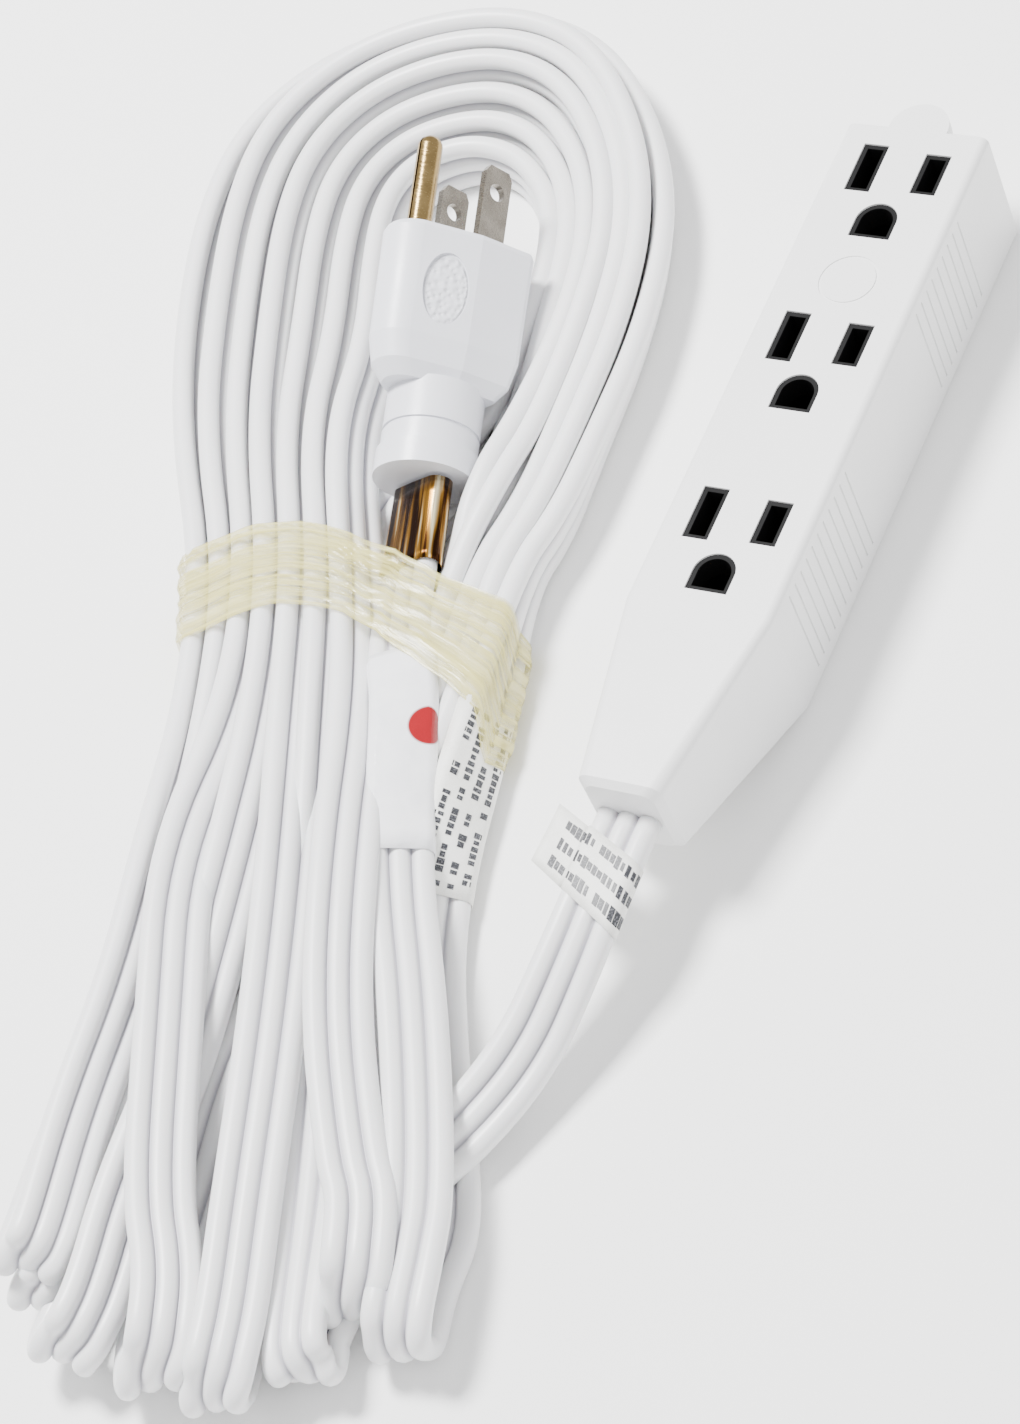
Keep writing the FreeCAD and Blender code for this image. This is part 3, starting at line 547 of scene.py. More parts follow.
def extruded_vinyl(name, colour, shade):
    """PVC drawn through a die over three cores: satin, with faint die lines that run along it."""
    made, tree, shader = new_material(name)
    run = node(tree, "ShaderNodeUVMap", {"uv_map": "run"})
    # tone drifts every 50 mm or so along the cord and differs a little from lobe to lobe
    drift = node(tree, "ShaderNodeMapping", inputs={"Vector": run, "Scale": (20, 300, 1)})
    cloud = node(tree, "ShaderNodeTexNoise", inputs={"Vector": drift, "Scale": 1.0, "Detail": 3.0})
    tone = node(tree, "ShaderNodeMix", {"data_type": "RGBA"}, {0: cloud, 6: colour, 7: shade})
    # painted shade: the two grooves are darkened towards a purplish grey, where the lobes shade each
    # other
    sunk = node(tree, "ShaderNodeAttribute", {"attribute_name": "groove"})
    painted_groove_shade = node(tree, "ShaderNodeMapRange", {"interpolation_type": "SMOOTHSTEP"}, {
        "Value": sunk.outputs["Fac"], "From Min": 0.12, "From Max": 0.6, "To Min": 0.0, "To Max": 0.85})
    whole = node(tree, "ShaderNodeMix", {"data_type": "RGBA"}, {
        0: painted_groove_shade, 6: tone.outputs[2], 7: linear("#9C99A3")})
    gloss = node(tree, "ShaderNodeMapRange", inputs={
        "Value": cloud, "From Min": 0.3, "From Max": 0.7, "To Min": 0.32, "To Max": 0.46})
    # die lines 0.5 mm apart, drawn coarser than the real ones so that they show
    lines = node(tree, "ShaderNodeMapping", inputs={"Vector": run, "Scale": (30, 2000, 1)})
    ridge = node(tree, "ShaderNodeTexNoise", inputs={"Vector": lines, "Scale": 1.0, "Detail": 1.0})
    bump = node(tree, "ShaderNodeBump", inputs={"Height": ridge, "Strength": 0.3, "Distance": 0.00006})
    fill(shader, {
        "IOR": 1.53, "Subsurface Weight": 0.05, "Subsurface Scale": 0.0015,
        "Base Color": whole.outputs[2], "Roughness": gloss, "Normal": bump})
    return made


def stretched_film(name, colour):
    """Polypropylene tape pulled tight and crumpled: see-through, yellowish, streaked lengthwise."""
    made, tree, shader = new_material(name)
    run = node(tree, "ShaderNodeUVMap", {"uv_map": "run"})
    # creases about 1.2 mm apart and 30 mm long
    long_way = node(tree, "ShaderNodeMapping", inputs={"Vector": run, "Scale": (34, 820, 1)})
    crease = node(tree, "ShaderNodeTexNoise", inputs={"Vector": long_way, "Scale": 1.0, "Detail": 4.0})
    # flat milky patches where the film has let go of the cord
    patch_way = node(tree, "ShaderNodeMapping", inputs={"Vector": run, "Scale": (60, 170, 1)})
    patch = node(tree, "ShaderNodeTexNoise", inputs={"Vector": patch_way, "Scale": 1.0, "Detail": 2.0})
    pale = linear("#EFE9A8")
    tone = node(tree, "ShaderNodeMix", {"data_type": "RGBA"}, {0: crease, 6: colour, 7: pale})
    milk = node(tree, "ShaderNodeMapRange", inputs={
        "Value": patch, "From Min": 0.55, "From Max": 0.8, "To Min": 0.0, "To Max": 0.6})
    whole = node(tree, "ShaderNodeMix", {"data_type": "RGBA"}, {
        0: milk, 6: tone.outputs[2], 7: linear("#F2F1E2")})
    body = node(tree, "ShaderNodeMapRange", inputs={
        "Value": crease, "From Min": 0.4, "From Max": 0.62, "To Min": 0.06, "To Max": 0.66})
    gloss = node(tree, "ShaderNodeMapRange", inputs={"Value": patch, "To Min": 0.06, "To Max": 0.24})
    bump = node(tree, "ShaderNodeBump", inputs={"Height": crease, "Strength": 0.5, "Distance": 0.0005})
    fill(shader, {
        "IOR": 1.49, "Base Color": whole.outputs[2], "Alpha": body, "Roughness": gloss,
        "Normal": bump})
    return made


def glossy_film(name, colour, spot, middle):
    """Calendered vinyl label film: white, glossy, slightly rippled, with one plain round spot."""
    made, tree, shader = new_material(name)
    place = node(tree, "ShaderNodeTexCoord").outputs["Object"]
    # ripples some 5 mm wide where the film bridges the lobes under it
    ripple = node(tree, "ShaderNodeTexNoise", inputs={"Vector": place, "Scale": 200.0, "Detail": 2.0})
    tone = node(tree, "ShaderNodeMix", {"data_type": "RGBA"}, {
        0: ripple, 6: colour, 7: linear("#E4E5EA")})
    away = node(tree, "ShaderNodeVectorMath", {"operation": "DISTANCE"}, {0: place, 1: middle})
    inside = node(tree, "ShaderNodeMapRange", inputs={
        "Value": away.outputs["Value"], "From Min": 0.0042, "From Max": 0.0046,
        "To Min": 1.0, "To Max": 0.0})
    whole = node(tree, "ShaderNodeMix", {"data_type": "RGBA"}, {0: inside, 6: tone.outputs[2], 7: spot})
    bump = node(tree, "ShaderNodeBump", inputs={"Height": ripple, "Strength": 0.5, "Distance": 0.0008})
    fill(shader, {"Roughness": 0.16, "IOR": 1.52, "Base Color": whole.outputs[2], "Normal": bump})
    return made


def label_paper(name, colour):
    """Coated label paper: matt, with fibres about 0.4 mm long and slight yellowing."""
    made, tree, shader = new_material(name)
    place = node(tree, "ShaderNodeTexCoord").outputs["Object"]
    fibre = node(tree, "ShaderNodeTexNoise", inputs={
        "Vector": place, "Scale": 2500.0, "Detail": 3.0, "Distortion": 1.5})
    cloud = node(tree, "ShaderNodeTexNoise", inputs={"Vector": place, "Scale": 160.0, "Detail": 2.0})
    mixed = node(tree, "ShaderNodeMath", {"operation": "MULTIPLY"}, {0: fibre, 1: cloud})
    spread = node(tree, "ShaderNodeMapRange", inputs={
        "Value": mixed, "From Min": 0.1, "From Max": 0.45})
    tone = node(tree, "ShaderNodeMix", {"data_type": "RGBA"}, {
        0: spread, 6: colour, 7: linear("#DFDFD8")})
    bump = node(tree, "ShaderNodeBump", inputs={"Height": fibre, "Strength": 0.4, "Distance": 0.00005})
    fill(shader, {"Roughness": 0.55, "Base Color": tone.outputs[2], "Normal": bump})
    return made


def printed_ink(name, colour):
    """Thermal-transfer ink: near black, thin in places so that paper shows as grey specks."""
    made, tree, shader = new_material(name)
    place = node(tree, "ShaderNodeTexCoord").outputs["Object"]
    speck = node(tree, "ShaderNodeTexNoise", inputs={"Vector": place, "Scale": 3000.0, "Detail": 2.0})
    thin = node(tree, "ShaderNodeMapRange", inputs={"Value": speck, "From Min": 0.5, "From Max": 0.75})
    tone = node(tree, "ShaderNodeMix", {"data_type": "RGBA"}, {
        0: thin, 6: colour, 7: linear("#7C7D82")})
    fill(shader, {"Roughness": 0.45, "Base Color": tone.outputs[2]})
    return made


def hot_foil(name, gold):
    """Metallised polyester foil bent round the cord: gold, with painted dark reflections and painted
    highlights in bands along it.
    """
    made, tree, shader = new_material(name)
    run = node(tree, "ShaderNodeUVMap", {"uv_map": "run"})
    # painted reflections: dark and bright bands 1 to 3 mm wide that run the label's whole length
    way = node(tree, "ShaderNodeMapping", inputs={"Vector": run, "Scale": (25, 520, 1)})
    band = node(tree, "ShaderNodeTexNoise", inputs={"Vector": way, "Scale": 1.0, "Detail": 3.0})
    ramp = node(tree, "ShaderNodeValToRGB", inputs={0: band})
    # painted dark reflection, brown-black
    ramp.color_ramp.elements[0].position = 0.47
    ramp.color_ramp.elements[0].color = linear("#2A170C")
    ramp.color_ramp.elements[1].position = 0.57
    ramp.color_ramp.elements[1].color = gold
    # painted highlight, pale cream
    painted_highlight_stop = ramp.color_ramp.elements.new(0.68)
    painted_highlight_stop.color = linear("#FBEFC4")
    gloss = node(tree, "ShaderNodeMapRange", inputs={"Value": band, "To Min": 0.14, "To Max": 0.34})
    bump = node(tree, "ShaderNodeBump", inputs={"Height": band, "Strength": 0.5, "Distance": 0.0004})
    fill(shader, {"Metallic": 1, "Base Color": ramp, "Roughness": gloss, "Normal": bump})
    return made


def worked_metal(name, colour, dull, roughness, stretch):
    """Rolled, drawn or plated metal: fine lines one way, and a skin that has dulled in patches."""
    made, tree, shader = new_material(name)
    place = node(tree, "ShaderNodeTexCoord").outputs["Object"]
    # lines 0.3 mm apart, coarser than real mill lines so that they show
    way = node(tree, "ShaderNodeMapping", inputs={"Vector": place, "Scale": stretch})
    lines = node(tree, "ShaderNodeTexNoise", inputs={"Vector": way, "Scale": 1.0, "Detail": 3.0})
    patch = node(tree, "ShaderNodeTexNoise", inputs={"Vector": place, "Scale": 240.0, "Detail": 3.0})
    tone = node(tree, "ShaderNodeMix", {"data_type": "RGBA"}, {0: patch, 6: colour, 7: dull})
    gloss = node(tree, "ShaderNodeMapRange", inputs={
        "Value": lines, "From Min": 0.3, "From Max": 0.7,
        "To Min": roughness - 0.08, "To Max": roughness + 0.1})
    bump = node(tree, "ShaderNodeBump", inputs={"Height": lines, "Strength": 0.25, "Distance": 0.00008})
    fill(shader, {"Metallic": 1, "Base Color": tone.outputs[2], "Roughness": gloss, "Normal": bump})
    return made


def painted_board(name, colour):
    """A sprayed studio board: matt and even, with a faint roller texture."""
    made, tree, shader = new_material(name)
    place = node(tree, "ShaderNodeTexCoord").outputs["Object"]
    cloud = node(tree, "ShaderNodeTexNoise", inputs={"Vector": place, "Scale": 6.0})
    tone = node(tree, "ShaderNodeMix", {"data_type": "RGBA"}, {
        0: cloud, 6: colour, 7: linear("#F7F7F6")})
    fill(shader, {"Roughness": 0.8, "Base Color": tone.outputs[2]})
    return made


def dress(names, material):
    """Gives the named nodes one material."""
    for name in names:
        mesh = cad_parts[name].data
        mesh.materials.clear()
        mesh.materials.append(material)


# ---- node trees that lay things on a film's surface ----------------------------
def surface_tree(name, inputs):
    """A node tree with the given inputs, and the group's input and output nodes."""
    tree = bpy.data.node_groups.new(name, "GeometryNodeTree")
    tree.interface.new_socket("Geometry", in_out="INPUT", socket_type="NodeSocketGeometry")
    for label, kind in inputs:
        tree.interface.new_socket(label, in_out="INPUT", socket_type=kind)
    tree.interface.new_socket("Geometry", in_out="OUTPUT", socket_type="NodeSocketGeometry")
    return tree, node(tree, "NodeGroupInput").outputs, node(tree, "NodeGroupOutput")


def lay_on_surface(tree, sheet, drawn):
    """Moves what is drawn at (along, round, height) onto the sheet whose map is called run."""
    here = node(tree, "GeometryNodeInputPosition")
    parts = node(tree, "ShaderNodeSeparateXYZ", inputs={0: here}).outputs
    run = node(tree, "GeometryNodeInputNamedAttribute", {"data_type": "FLOAT_VECTOR"}, {"Name": "run"})
    found = []
    for kind in ("GeometryNodeInputPosition", "GeometryNodeInputNormal"):
        value = node(tree, kind)
        sample = node(tree, "GeometryNodeSampleUVSurface", {"data_type": "FLOAT_VECTOR"}, {
            "Mesh": sheet, "Value": value, "UV Map": run, "Sample UV": here})
        found.append(sample.outputs[0])
    out = node(tree, "ShaderNodeVectorMath", {"operation": "SCALE"}, {0: found[1], "Scale": parts[2]})
    place = node(tree, "ShaderNodeVectorMath", {"operation": "ADD"}, {0: found[0], 1: out})
    return node(tree, "GeometryNodeSetPosition", inputs={"Geometry": drawn, "Position": place})


def print_tree():
    """Rows of small raised bars, some left out as gaps between words."""
    tree, given, end = surface_tree("print_bars", (
        ("Along", "NodeSocketInt"), ("Round", "NodeSocketInt"), ("Length", "NodeSocketFloat"),
        ("Height", "NodeSocketFloat"), ("Middle", "NodeSocketVector"), ("Bar", "NodeSocketVector"),
        ("Gaps", "NodeSocketFloat"), ("Seed", "NodeSocketInt"), ("Material", "NodeSocketMaterial")))
    grid = node(tree, "GeometryNodeMeshGrid", inputs={
        "Size X": given["Length"], "Size Y": given["Height"],
        "Vertices X": given["Along"], "Vertices Y": given["Round"]})
    moved = node(tree, "GeometryNodeTransform", inputs={
        "Geometry": grid, "Translation": given["Middle"]})
    gap = node(tree, "FunctionNodeRandomValue", {"data_type": "BOOLEAN"}, {
        "Probability": given["Gaps"], "Seed": given["Seed"]})
    words = node(tree, "GeometryNodeDeleteGeometry", inputs={
        "Geometry": moved, "Selection": gap.outputs[3]})
    size = node(tree, "FunctionNodeRandomValue", {"data_type": "FLOAT_VECTOR"}, {
        0: (0.55, 0.55, 1.0), 1: (1.0, 1.0, 1.0), "Seed": given["Seed"]})
    bar = node(tree, "GeometryNodeMeshCube", inputs={"Size": given["Bar"]})
    bars = node(tree, "GeometryNodeInstanceOnPoints", inputs={
        "Points": words, "Instance": bar, "Scale": size})
    plain = node(tree, "GeometryNodeRealizeInstances", inputs={"Geometry": bars})
    laid = lay_on_surface(tree, given["Geometry"], plain)
    inked = node(tree, "GeometryNodeSetMaterial", inputs={
        "Geometry": laid, "Material": given["Material"]})
    fill(end, {0: inked})
    return tree


def strand_tree():
    """Rolled folds that wander along a tape, each a thin tube."""
    tree, given, end = surface_tree("tape_folds", (
        ("Folds", "NodeSocketInt"), ("Length", "NodeSocketFloat"), ("Spacing", "NodeSocketVector"),
        ("First", "NodeSocketVector"), ("Radius", "NodeSocketFloat"), ("Wander", "NodeSocketFloat"),
        ("Material", "NodeSocketMaterial")))
    reach = node(tree, "ShaderNodeCombineXYZ", inputs={0: given["Length"]})
    line = node(tree, "GeometryNodeCurvePrimitiveLine", inputs={"End": reach})
    fine = node(tree, "GeometryNodeResampleCurve", inputs={"Curve": line, "Count": 150})
    rows = node(tree, "GeometryNodeMeshLine", inputs={
        "Count": given["Folds"], "Start Location": given["First"], "Offset": given["Spacing"]})
    copies = node(tree, "GeometryNodeInstanceOnPoints", inputs={"Points": rows, "Instance": fine})
    plain = node(tree, "GeometryNodeRealizeInstances", inputs={"Geometry": copies})
    here = node(tree, "GeometryNodeInputPosition")
    way = node(tree, "ShaderNodeVectorMath", {"operation": "MULTIPLY"}, {
        0: here, 1: (32.0, 240.0, 1.0)})
    drift = node(tree, "ShaderNodeTexNoise", inputs={"Vector": way, "Scale": 1.0, "Detail": 1.0})
    centred = node(tree, "ShaderNodeMath", {"operation": "SUBTRACT"}, {0: drift, 1: 0.5})
    sway = node(tree, "ShaderNodeMath", {"operation": "MULTIPLY"}, {0: centred, 1: given["Wander"]})
    step = node(tree, "ShaderNodeCombineXYZ", inputs={1: sway})
    swayed = node(tree, "GeometryNodeSetPosition", inputs={"Geometry": plain, "Offset": step})
    laid = lay_on_surface(tree, given["Geometry"], swayed)
    round_bar = node(tree, "GeometryNodeCurvePrimitiveCircle", inputs={
        "Resolution": 6, "Radius": given["Radius"]})
    tubes = node(tree, "GeometryNodeCurveToMesh", inputs={
        "Curve": laid, "Profile Curve": round_bar, "Fill Caps": True})
    inked = node(tree, "GeometryNodeSetMaterial", inputs={
        "Geometry": tubes, "Material": given["Material"]})
    fill(end, {0: inked})
    return tree


def grow(name, tree, sheet, values):
    """Runs a node tree on a copy of the sheet and keeps the plain mesh that comes out."""
    carrier = bpy.data.objects.new(name, sheet.data)
    bpy.context.scene.collection.objects.link(carrier)
    modifier = carrier.modifiers.new(name, "NODES")
    modifier.node_group = tree
    for socket in tree.interface.items_tree:
        if socket.in_out == "INPUT" and socket.name in values:
            modifier[socket.identifier] = values[socket.name]
    settled = carrier.evaluated_get(bpy.context.evaluated_depsgraph_get())
    mesh = bpy.data.meshes.new_from_object(settled)
    bpy.data.objects.remove(carrier)
    if not mesh.polygons:
        raise RuntimeError(name + " came out empty")
    made = bpy.data.objects.new(name, mesh)
    bpy.context.scene.collection.objects.link(made)
    return made


# ---- operators ----------------------------------------------------------------
# what one step leaves for the next: the cord, its line and the pieces on it
ROUTE = {"on_cord": []}


class CORD_OT_camera(bpy.types.Operator):
    """Sets the camera and the soft studio lights"""
    bl_idname = "extension_cord.camera"
    bl_label = "Camera and lights"

    def execute(self, context):
        data = bpy.data.cameras.new("camera")
        data.lens = 101.7
        data.sensor_width = 36
        data.sensor_height = 36
        data.sensor_fit = "AUTO"
        data.clip_start = 0.05
        data.clip_end = 20
        camera = bpy.data.objects.new("camera", data)
        context.scene.collection.objects.link(camera)
        right = Vector((0.870, 0.389, -0.304)).normalized()
        forward = Vector((-0.465, 0.438, -0.770)).normalized()
        up = right.cross(forward).normalized()
        right = forward.cross(up).normalized()
        turn = Matrix((right, up, -forward)).transposed()
        camera.matrix_world = Matrix.Translation((0.2954, -0.3678, 0.5571)) @ turn.to_4x4()
        context.scene.camera = camera
        world = bpy.data.worlds.new("studio")
        context.scene.world = world
        world.use_nodes = True
        back = world.node_tree.nodes["Background"]
        back.inputs["Color"].default_value = linear("#FDFDFF")
        back.inputs["Strength"].default_value = 1.15
        for name, place, size, power in (
            ("key", (-0.45, 0.1, 1.05), 0.3, 38.0),
            ("fill", (0.9, -0.5, 0.9), 0.9, 6.0),
        ):
            lamp = bpy.data.lights.new(name, "AREA")
            lamp.size = size
            lamp.energy = power
            holder = bpy.data.objects.new(name, lamp)
            context.scene.collection.objects.link(holder)
            place = Vector(place)
            aim = Vector((-0.06, -0.05, 0)) - place
            facing = aim.to_track_quat("-Z", "Y").to_matrix()
            holder.matrix_world = Matrix.Translation(place) @ facing.to_4x4()
        return {"FINISHED"}


class CORD_OT_cord(bpy.types.Operator):
    """Makes the flat three-lobed cord and winds it into the hank"""
    bl_idname = "extension_cord.cord"
    bl_label = "Cord"

    def execute(self, context):
        sizes = context.scene.cord_sizes
        centre, width = route_frames()
        line = nurbs_line("cord_line", centre)
        half = sizes.lobe_pitch + sizes.lobe_radius
        edge = nurbs_line("cord_edge", centre + width * half)
        section = lobed_section(sizes.lobe_radius, sizes.lobe_pitch, sizes.web)
        cord = ribbon("flat_cord", line, edge - line, section)
        cord.data.materials.append(extruded_vinyl(
            "extruded_pvc_cord", context.scene.cord_colours.cord, linear("#DFDFE1")))
        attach(cord, "root")
        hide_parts("cord_hank", "block_cord_tail", "plug_cord_tail")
        ROUTE["line"] = line
        ROUTE["across"] = edge - line
        ROUTE["cord"] = cord
        return {"FINISHED"}


class CORD_OT_labels(bpy.types.Operator):
    """Wraps the foil, film and paper labels round the cord and prints plain bars on the paper"""
    bl_idname = "extension_cord.labels"
    bl_label = "Labels"

    def execute(self, context):
        sizes = context.scene.cord_sizes
        tints = context.scene.cord_colours
        line, across = ROUTE["line"], ROUTE["across"]
        half = sizes.lobe_pitch + sizes.lobe_radius
        close = stadium(half + 0.3 * MM, sizes.lobe_radius + 0.3 * MM)
        loose = stadium(half + 0.9 * MM, sizes.lobe_radius + 0.6 * MM)

        span = between(line, (-71.2, -14.2, 11.5), (-66.9, -31.5, 9.9))
        foil = wrap("gold_foil_label", line[span], across[span], loose, sizes.film, True)
        foil.data.materials.append(hot_foil("metallised_polyester_foil", tints.foil))
        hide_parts("foil_label")

        span = between(line, (-58.8, -51.0, 13.4), (-41.5, -91.5, 12.2))
        sleeve = wrap("film_sleeve_label", line[span], across[span], close, sizes.film, True)
        sleeve.data.materials.append(glossy_film(
            "calendered_vinyl_film", linear("#FAFAFB"), tints.spot, (-0.0455, -0.0645, 0.0160)))
        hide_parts("sleeve_label")

        paper = label_paper("coated_label_paper", linear("#F4F4F0"))
        ink = printed_ink("thermal_transfer_ink", tints.ink)
        bars = print_tree()
        height = sizes.print_height

        span = between(line, (-41.5, -57.0, 7.4), (-36.5, -92.0, 5.6))
        notice = wrap("notice_paper_label", line[span], across[span], close, sizes.film, True)
        notice.data.materials.append(paper)
        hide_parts("notice_label")
        around = travelled(np.array(close + close[:1]))
        reach = travelled(line[span])[-1]
        lines = grow("notice_printed_bars", bars, notice, {
            "Along": 25, "Round": 4, "Length": reach - 0.005, "Height": height * 5.4,
            "Middle": (reach / 2, around[18], 0.00002), "Bar": (0.00125, height * 1.15, 0.00014),
            "Gaps": 0.17, "Seed": 4, "Material": ink})

        # the flag is stuck to itself beside the cord, so its outline runs out, round and back
        fin = half + 7.5 * MM
        thick = sizes.lobe_radius + 0.3 * MM
        back = [(-fin + step * (fin - half) / 5, -0.1 * MM) for step in range(6)]
        flag_line = back + stadium(half + 0.3 * MM, thick, 190, 530, 26)
        flag_line += [(x, -y) for x, y in reversed(back)]
        span = between(line, (-0.2, -82.5, 17.46), (-0.4, -95.0, 15.8))
        flag = wrap("flag_paper_label", line[span], across[span], flag_line, sizes.film, False, 0.44)
        flag.data.materials.append(paper)
        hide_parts("flag_label")
        around = travelled(np.array(flag_line))
        reach = travelled(line[span])[-1]
        words = grow("flag_printed_bars", bars, flag, {
            "Along": 3, "Round": 17, "Length": reach * 0.62, "Height": 0.0205,
            "Middle": (reach / 2, around[-1] - 0.0105, 0.00002), "Bar": (height * 1.6, 0.0012, 0.00014),
            "Gaps": 0.16, "Seed": 9, "Material": ink})

        for piece, finish in ((foil, 0), (sleeve, 0), (notice, "notice_paper"), (lines, "notice_paper"),
                              (flag, "flag_paper"), (words, "flag_paper")):
            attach(piece, "root")
            ROUTE["on_cord"].append(piece.name)
        return {"FINISHED"}


class CORD_OT_tape(bpy.types.Operator):
    """Pulls the clear tape tight round the hank's neck"""
    bl_idname = "extension_cord.tape"
    bl_label = "Tape"

    def execute(self, context):
        sizes = context.scene.cord_sizes
        verts = np.array([v.co[:] for v in ROUTE["cord"].data.vertices]) / MM
        away = verts[:, :2] - np.array(NECK)
        place = np.stack([away @ np.array(ACROSS), verts[:, 2], away @ np.array(AXIS)], axis=1)
        place = place[(np.abs(place[:, 0]) < 48) & (place[:, 2] > -40) & (place[:, 2] < 40)]
        angles = np.radians(np.arange(0, 360, 2.5))
        middle = np.array([2.0, 8.0])

        # the tight wrap's distance from the middle in each direction, every 2 mm along the hank
        stations = np.arange(-30, 31, 2.0)
        reach = []
        facing = np.cos(angles[:, None] - angles[None, :])
        for station in stations:
            slab = place[np.abs(place[:, 2] - station) < 3][:, :2] - middle
            support = (slab @ np.stack([np.cos(angles), np.sin(angles)])).max(axis=0)
            span = support[None, :] / np.maximum(facing, 0.05)
            reach.append(np.where(facing > 0.05, span, np.inf).min(axis=1))
        reach = np.array(reach)

        # the tape's two edges, by the direction from the middle
        turn = np.degrees(angles)
        upper = np.interp(turn, TAPE_TURN, TAPE_UPPER)
        lower = np.interp(turn, TAPE_TURN, TAPE_LOWER)
        steps = 41
        walls = [np.zeros((len(angles) + 1, steps, 3)), np.zeros((len(angles) + 1, steps, 3))]
        for row in range(len(angles) + 1):
            way = row % len(angles)
            beta = angles[way]
            for step in range(steps):
                share = step / (steps - 1)
                along = upper[way] + (lower[way] - upper[way]) * share
                out = np.interp(along, stations, reach[:, way]) + 0.5
                sway = 0.5 * math.sin(2 * beta) + 0.2 * math.sin(5 * beta)
                crease = 0.5 * math.sin(math.tau * (3.3 * share + sway))
                crease += 0.35 * math.sin(math.tau * (7.1 * share + 0.7 * math.sin(3 * beta + 1)))
                crease += 0.3 * math.sin(math.tau * 1.6 * share + 4 * beta)
                crease *= 0.25 + 0.75 * abs(math.sin(beta))
                fade = min(1, 5 * share + 0.15, 5 * (1 - share) + 0.15)
                out += sizes.wrinkle / MM * (0.9 + crease) * fade
                for wall, inset in enumerate((0.0, 0.14)):
                    q = middle[0] + (out - inset) * math.cos(beta)
                    z = middle[1] + (out - inset) * math.sin(beta)
                    x = NECK[0] + q * ACROSS[0] + along * AXIS[0]
                    y = NECK[1] + q * ACROSS[1] + along * AXIS[1]
                    walls[wall][row, step] = (x * MM, y * MM, max(z, 0.04 + inset) * MM)
        tape = film("clear_tape_band", walls[0], walls[1], False)
        clear = stretched_film("stretched_polypropylene_tape", context.scene.cord_colours.tape)
        tape.data.materials.append(clear)
        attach(tape, "root")
        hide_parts("hank_tape")
        breadth = travelled(walls[0][len(angles) // 2])[-1]
        length = travelled(walls[0][:, steps // 2])[-1]
        folds = grow("clear_tape_folds", strand_tree(), tape, {
            "Folds": sizes.strands, "Length": length * 0.999,
            "Spacing": (0, breadth * 0.8 / sizes.strands, 0), "First": (0, breadth * 0.12, 0.0002),
            "Radius": 0.00014, "Wander": 0.004, "Material": clear})
        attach(folds, "root")
        ROUTE["on_cord"] += [tape.name, folds.name]
        return {"FINISHED"}


# this step does nothing: no piece is fastened to the cord
class CORD_OT_declare(bpy.types.Operator):
    bl_idname = "extension_cord.declare"
    bl_label = "Fasten the pieces to the cord"

    def execute(self, context):
        return {"FINISHED"}


class CORD_OT_block(bpy.types.Operator):
    """Finishes the block, its cord root, its contact carriers and its contact strips"""
    bl_idname = "extension_cord.block"
    bl_label = "Block"

    def execute(self, context):
        tints = context.scene.cord_colours
        shade = linear("#E4E4E4")
        dress(["outlet_block_housing"], moulded_vinyl(
            "moulded_pvc_block", tints.block, shade, 0.4, 0.0007))
        dress(["block_cord_root"], moulded_vinyl("moulded_pvc_root", tints.cord, shade, 0.4, 0.0007))
        carrier = moulded_vinyl(
            "glass_filled_nylon_carrier", linear("#030304"), linear("#070708"), 0.6, 0.0004)
        # carbon black takes most of the sheen as well as the colour
        shader = next(n for n in carrier.node_tree.nodes if n.type == "BSDF_PRINCIPLED")
        shader.inputs["Specular IOR Level"].default_value = 0.15
        dress(["contact_carrier_front", "contact_carrier_rear"], carrier)
        dress(["neutral_contact_strip", "ground_contact_strip", "hot_contact_strip"], worked_metal(
            "rolled_brass_strip", linear("#CDAA62"), linear("#A98A4C"), 0.3, (3000, 40, 3000)))
        return {"FINISHED"}


class CORD_OT_plug(bpy.types.Operator):
    """Finishes the plug's body, blades, pin and bridge"""
    bl_idname = "extension_cord.plug"
    bl_label = "Plug"

    def execute(self, context):
        tints = context.scene.cord_colours
        vinyl = moulded_vinyl("moulded_pvc_plug", tints.plug, linear("#D6D7DD"), 0.34, 0.0009)
        # the etched ovals on the plug's two sloping faces: middle, long way, short way
        for middle, along, across in (
            ((-0.0763, 0.0192, 0.0284), (-0.217, 0.956, 0.199), (-0.772, -0.293, 0.564)),
            ((-0.0895, 0.0177, 0.0212), (-0.217, 0.956, 0.199), (0.016, 0.208, -0.978)),
        ):
            stipple_oval(vinyl, middle, along, across, (0.0073, 0.0043, 0.0025))
        dress(["plug_body", "plug_cord_root"], vinyl)
        dress(["prong_bridge"], moulded_vinyl(
            "moulded_nylon_bridge", linear("#D9D6CC"), linear("#C9C5B8"), 0.42, 0.0005))
        dress(["neutral_blade", "hot_blade"], worked_metal(
            "nickel_plated_brass_blade", linear("#9A948A"), linear("#5E584F"), 0.28, (60, 3000, 3000)))
        dress(["ground_pin"], worked_metal(
            "drawn_brass_pin", linear("#AE9463"), linear("#6B5735"), 0.2, (60, 3000, 3000)))
        return {"FINISHED"}


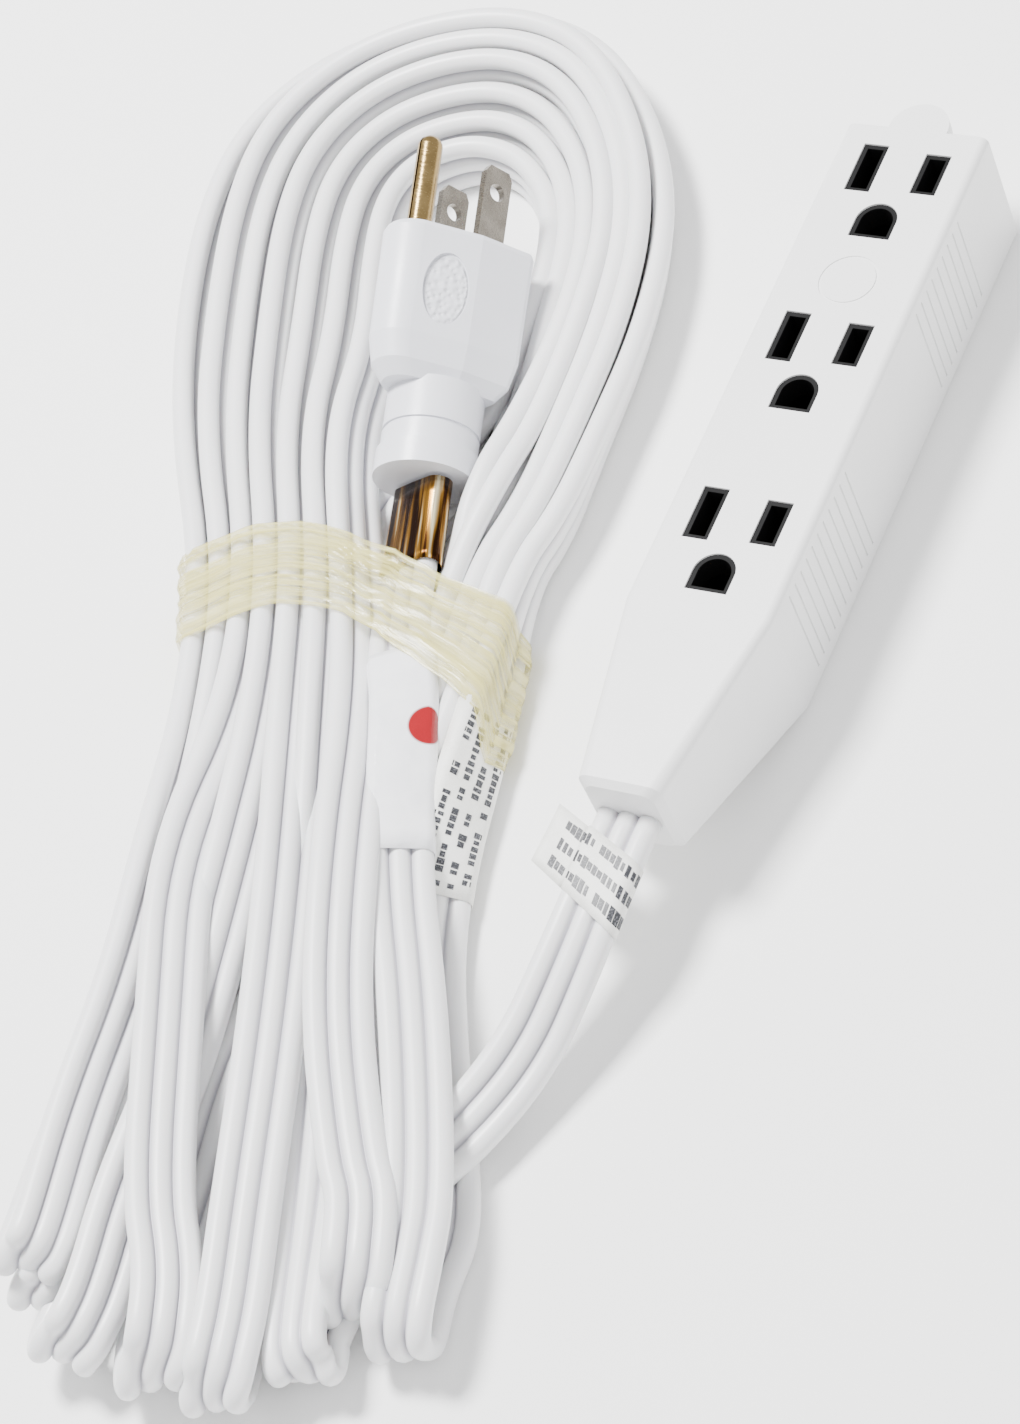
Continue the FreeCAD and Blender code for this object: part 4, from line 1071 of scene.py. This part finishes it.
class CORD_OT_wires(bpy.types.Operator):
    """Finishes the bare wires, their coloured insulation and the crimps at both ends"""
    bl_idname = "extension_cord.wires"
    bl_label = "Wires"

    def execute(self, context):
        copper = worked_metal(
            "drawn_copper_wire", linear("#C9754B"), linear("#9C5433"), 0.3, (3000, 60, 3000))
        tin = worked_metal(
            "tinned_copper_crimp", linear("#C9CBCE"), linear("#9EA1A6"), 0.34, (3000, 60, 3000))
        jackets = {}
        for core, name, tone, shade in (
            ("neutral", "white_pvc_insulation", "#EDEDEA", "#DFDFDC"),
            ("ground", "green_pvc_insulation", "#2E8B4A", "#237139"),
            ("hot", "black_pvc_insulation", "#1B1B1D", "#28282B"),
        ):
            jackets[core] = moulded_vinyl(name, linear(tone), linear(shade), 0.4, 0.0006)
        for end in ("block", "plug"):
            for core, jacket in jackets.items():
                dress([end + "_" + core + "_wire"], copper)
                dress([end + "_" + core + "_insulation"], jacket)
                dress([end + "_" + core + "_crimp"], tin)
        return {"FINISHED"}


class CORD_OT_floor(bpy.types.Operator):
    """Lays the plain pale floor"""
    bl_idname = "extension_cord.floor"
    bl_label = "Floor"

    def execute(self, context):
        half = 3.0
        corners = [(-half, -half, 0), (half, -half, 0), (half, half, 0), (-half, half, 0)]
        floor = mesh_object("floor", corners, [(0, 1, 2, 3)])
        floor.data.materials.append(painted_board("painted_board", linear("#FBFBFA")))
        return {"FINISHED"}


STEPS = (
    CORD_OT_camera, CORD_OT_cord, CORD_OT_labels, CORD_OT_tape, CORD_OT_declare,
    CORD_OT_block, CORD_OT_plug, CORD_OT_wires, CORD_OT_floor,
)


class CORD_PT_panel(bpy.types.Panel):
    """Lists the sizes, the colours and the steps that make the extension cord"""
    bl_idname = "CORD_PT_panel"
    bl_label = "Extension Cord"
    bl_space_type = "VIEW_3D"
    bl_region_type = "UI"
    bl_category = "Extension Cord"

    def draw(self, context):
        for group in (context.scene.cord_sizes, context.scene.cord_colours):
            for name in group.__annotations__:
                self.layout.prop(group, name)
        for step in STEPS:
            self.layout.operator(step.bl_idname)


CLASSES = (CordSizes, CordColours) + STEPS + (CORD_PT_panel,)


def register():
    for made in CLASSES:
        bpy.utils.register_class(made)
    bpy.types.Scene.cord_sizes = bpy.props.PointerProperty(type=CordSizes)
    bpy.types.Scene.cord_colours = bpy.props.PointerProperty(type=CordColours)


def unregister():
    del bpy.types.Scene.cord_colours
    del bpy.types.Scene.cord_sizes
    for made in reversed(CLASSES):
        bpy.utils.unregister_class(made)


def main():
    register()
    for step in STEPS:
        group, name = step.bl_idname.split(".")
        getattr(getattr(bpy.ops, group), name)()


if __name__ == "__main__":
    main()
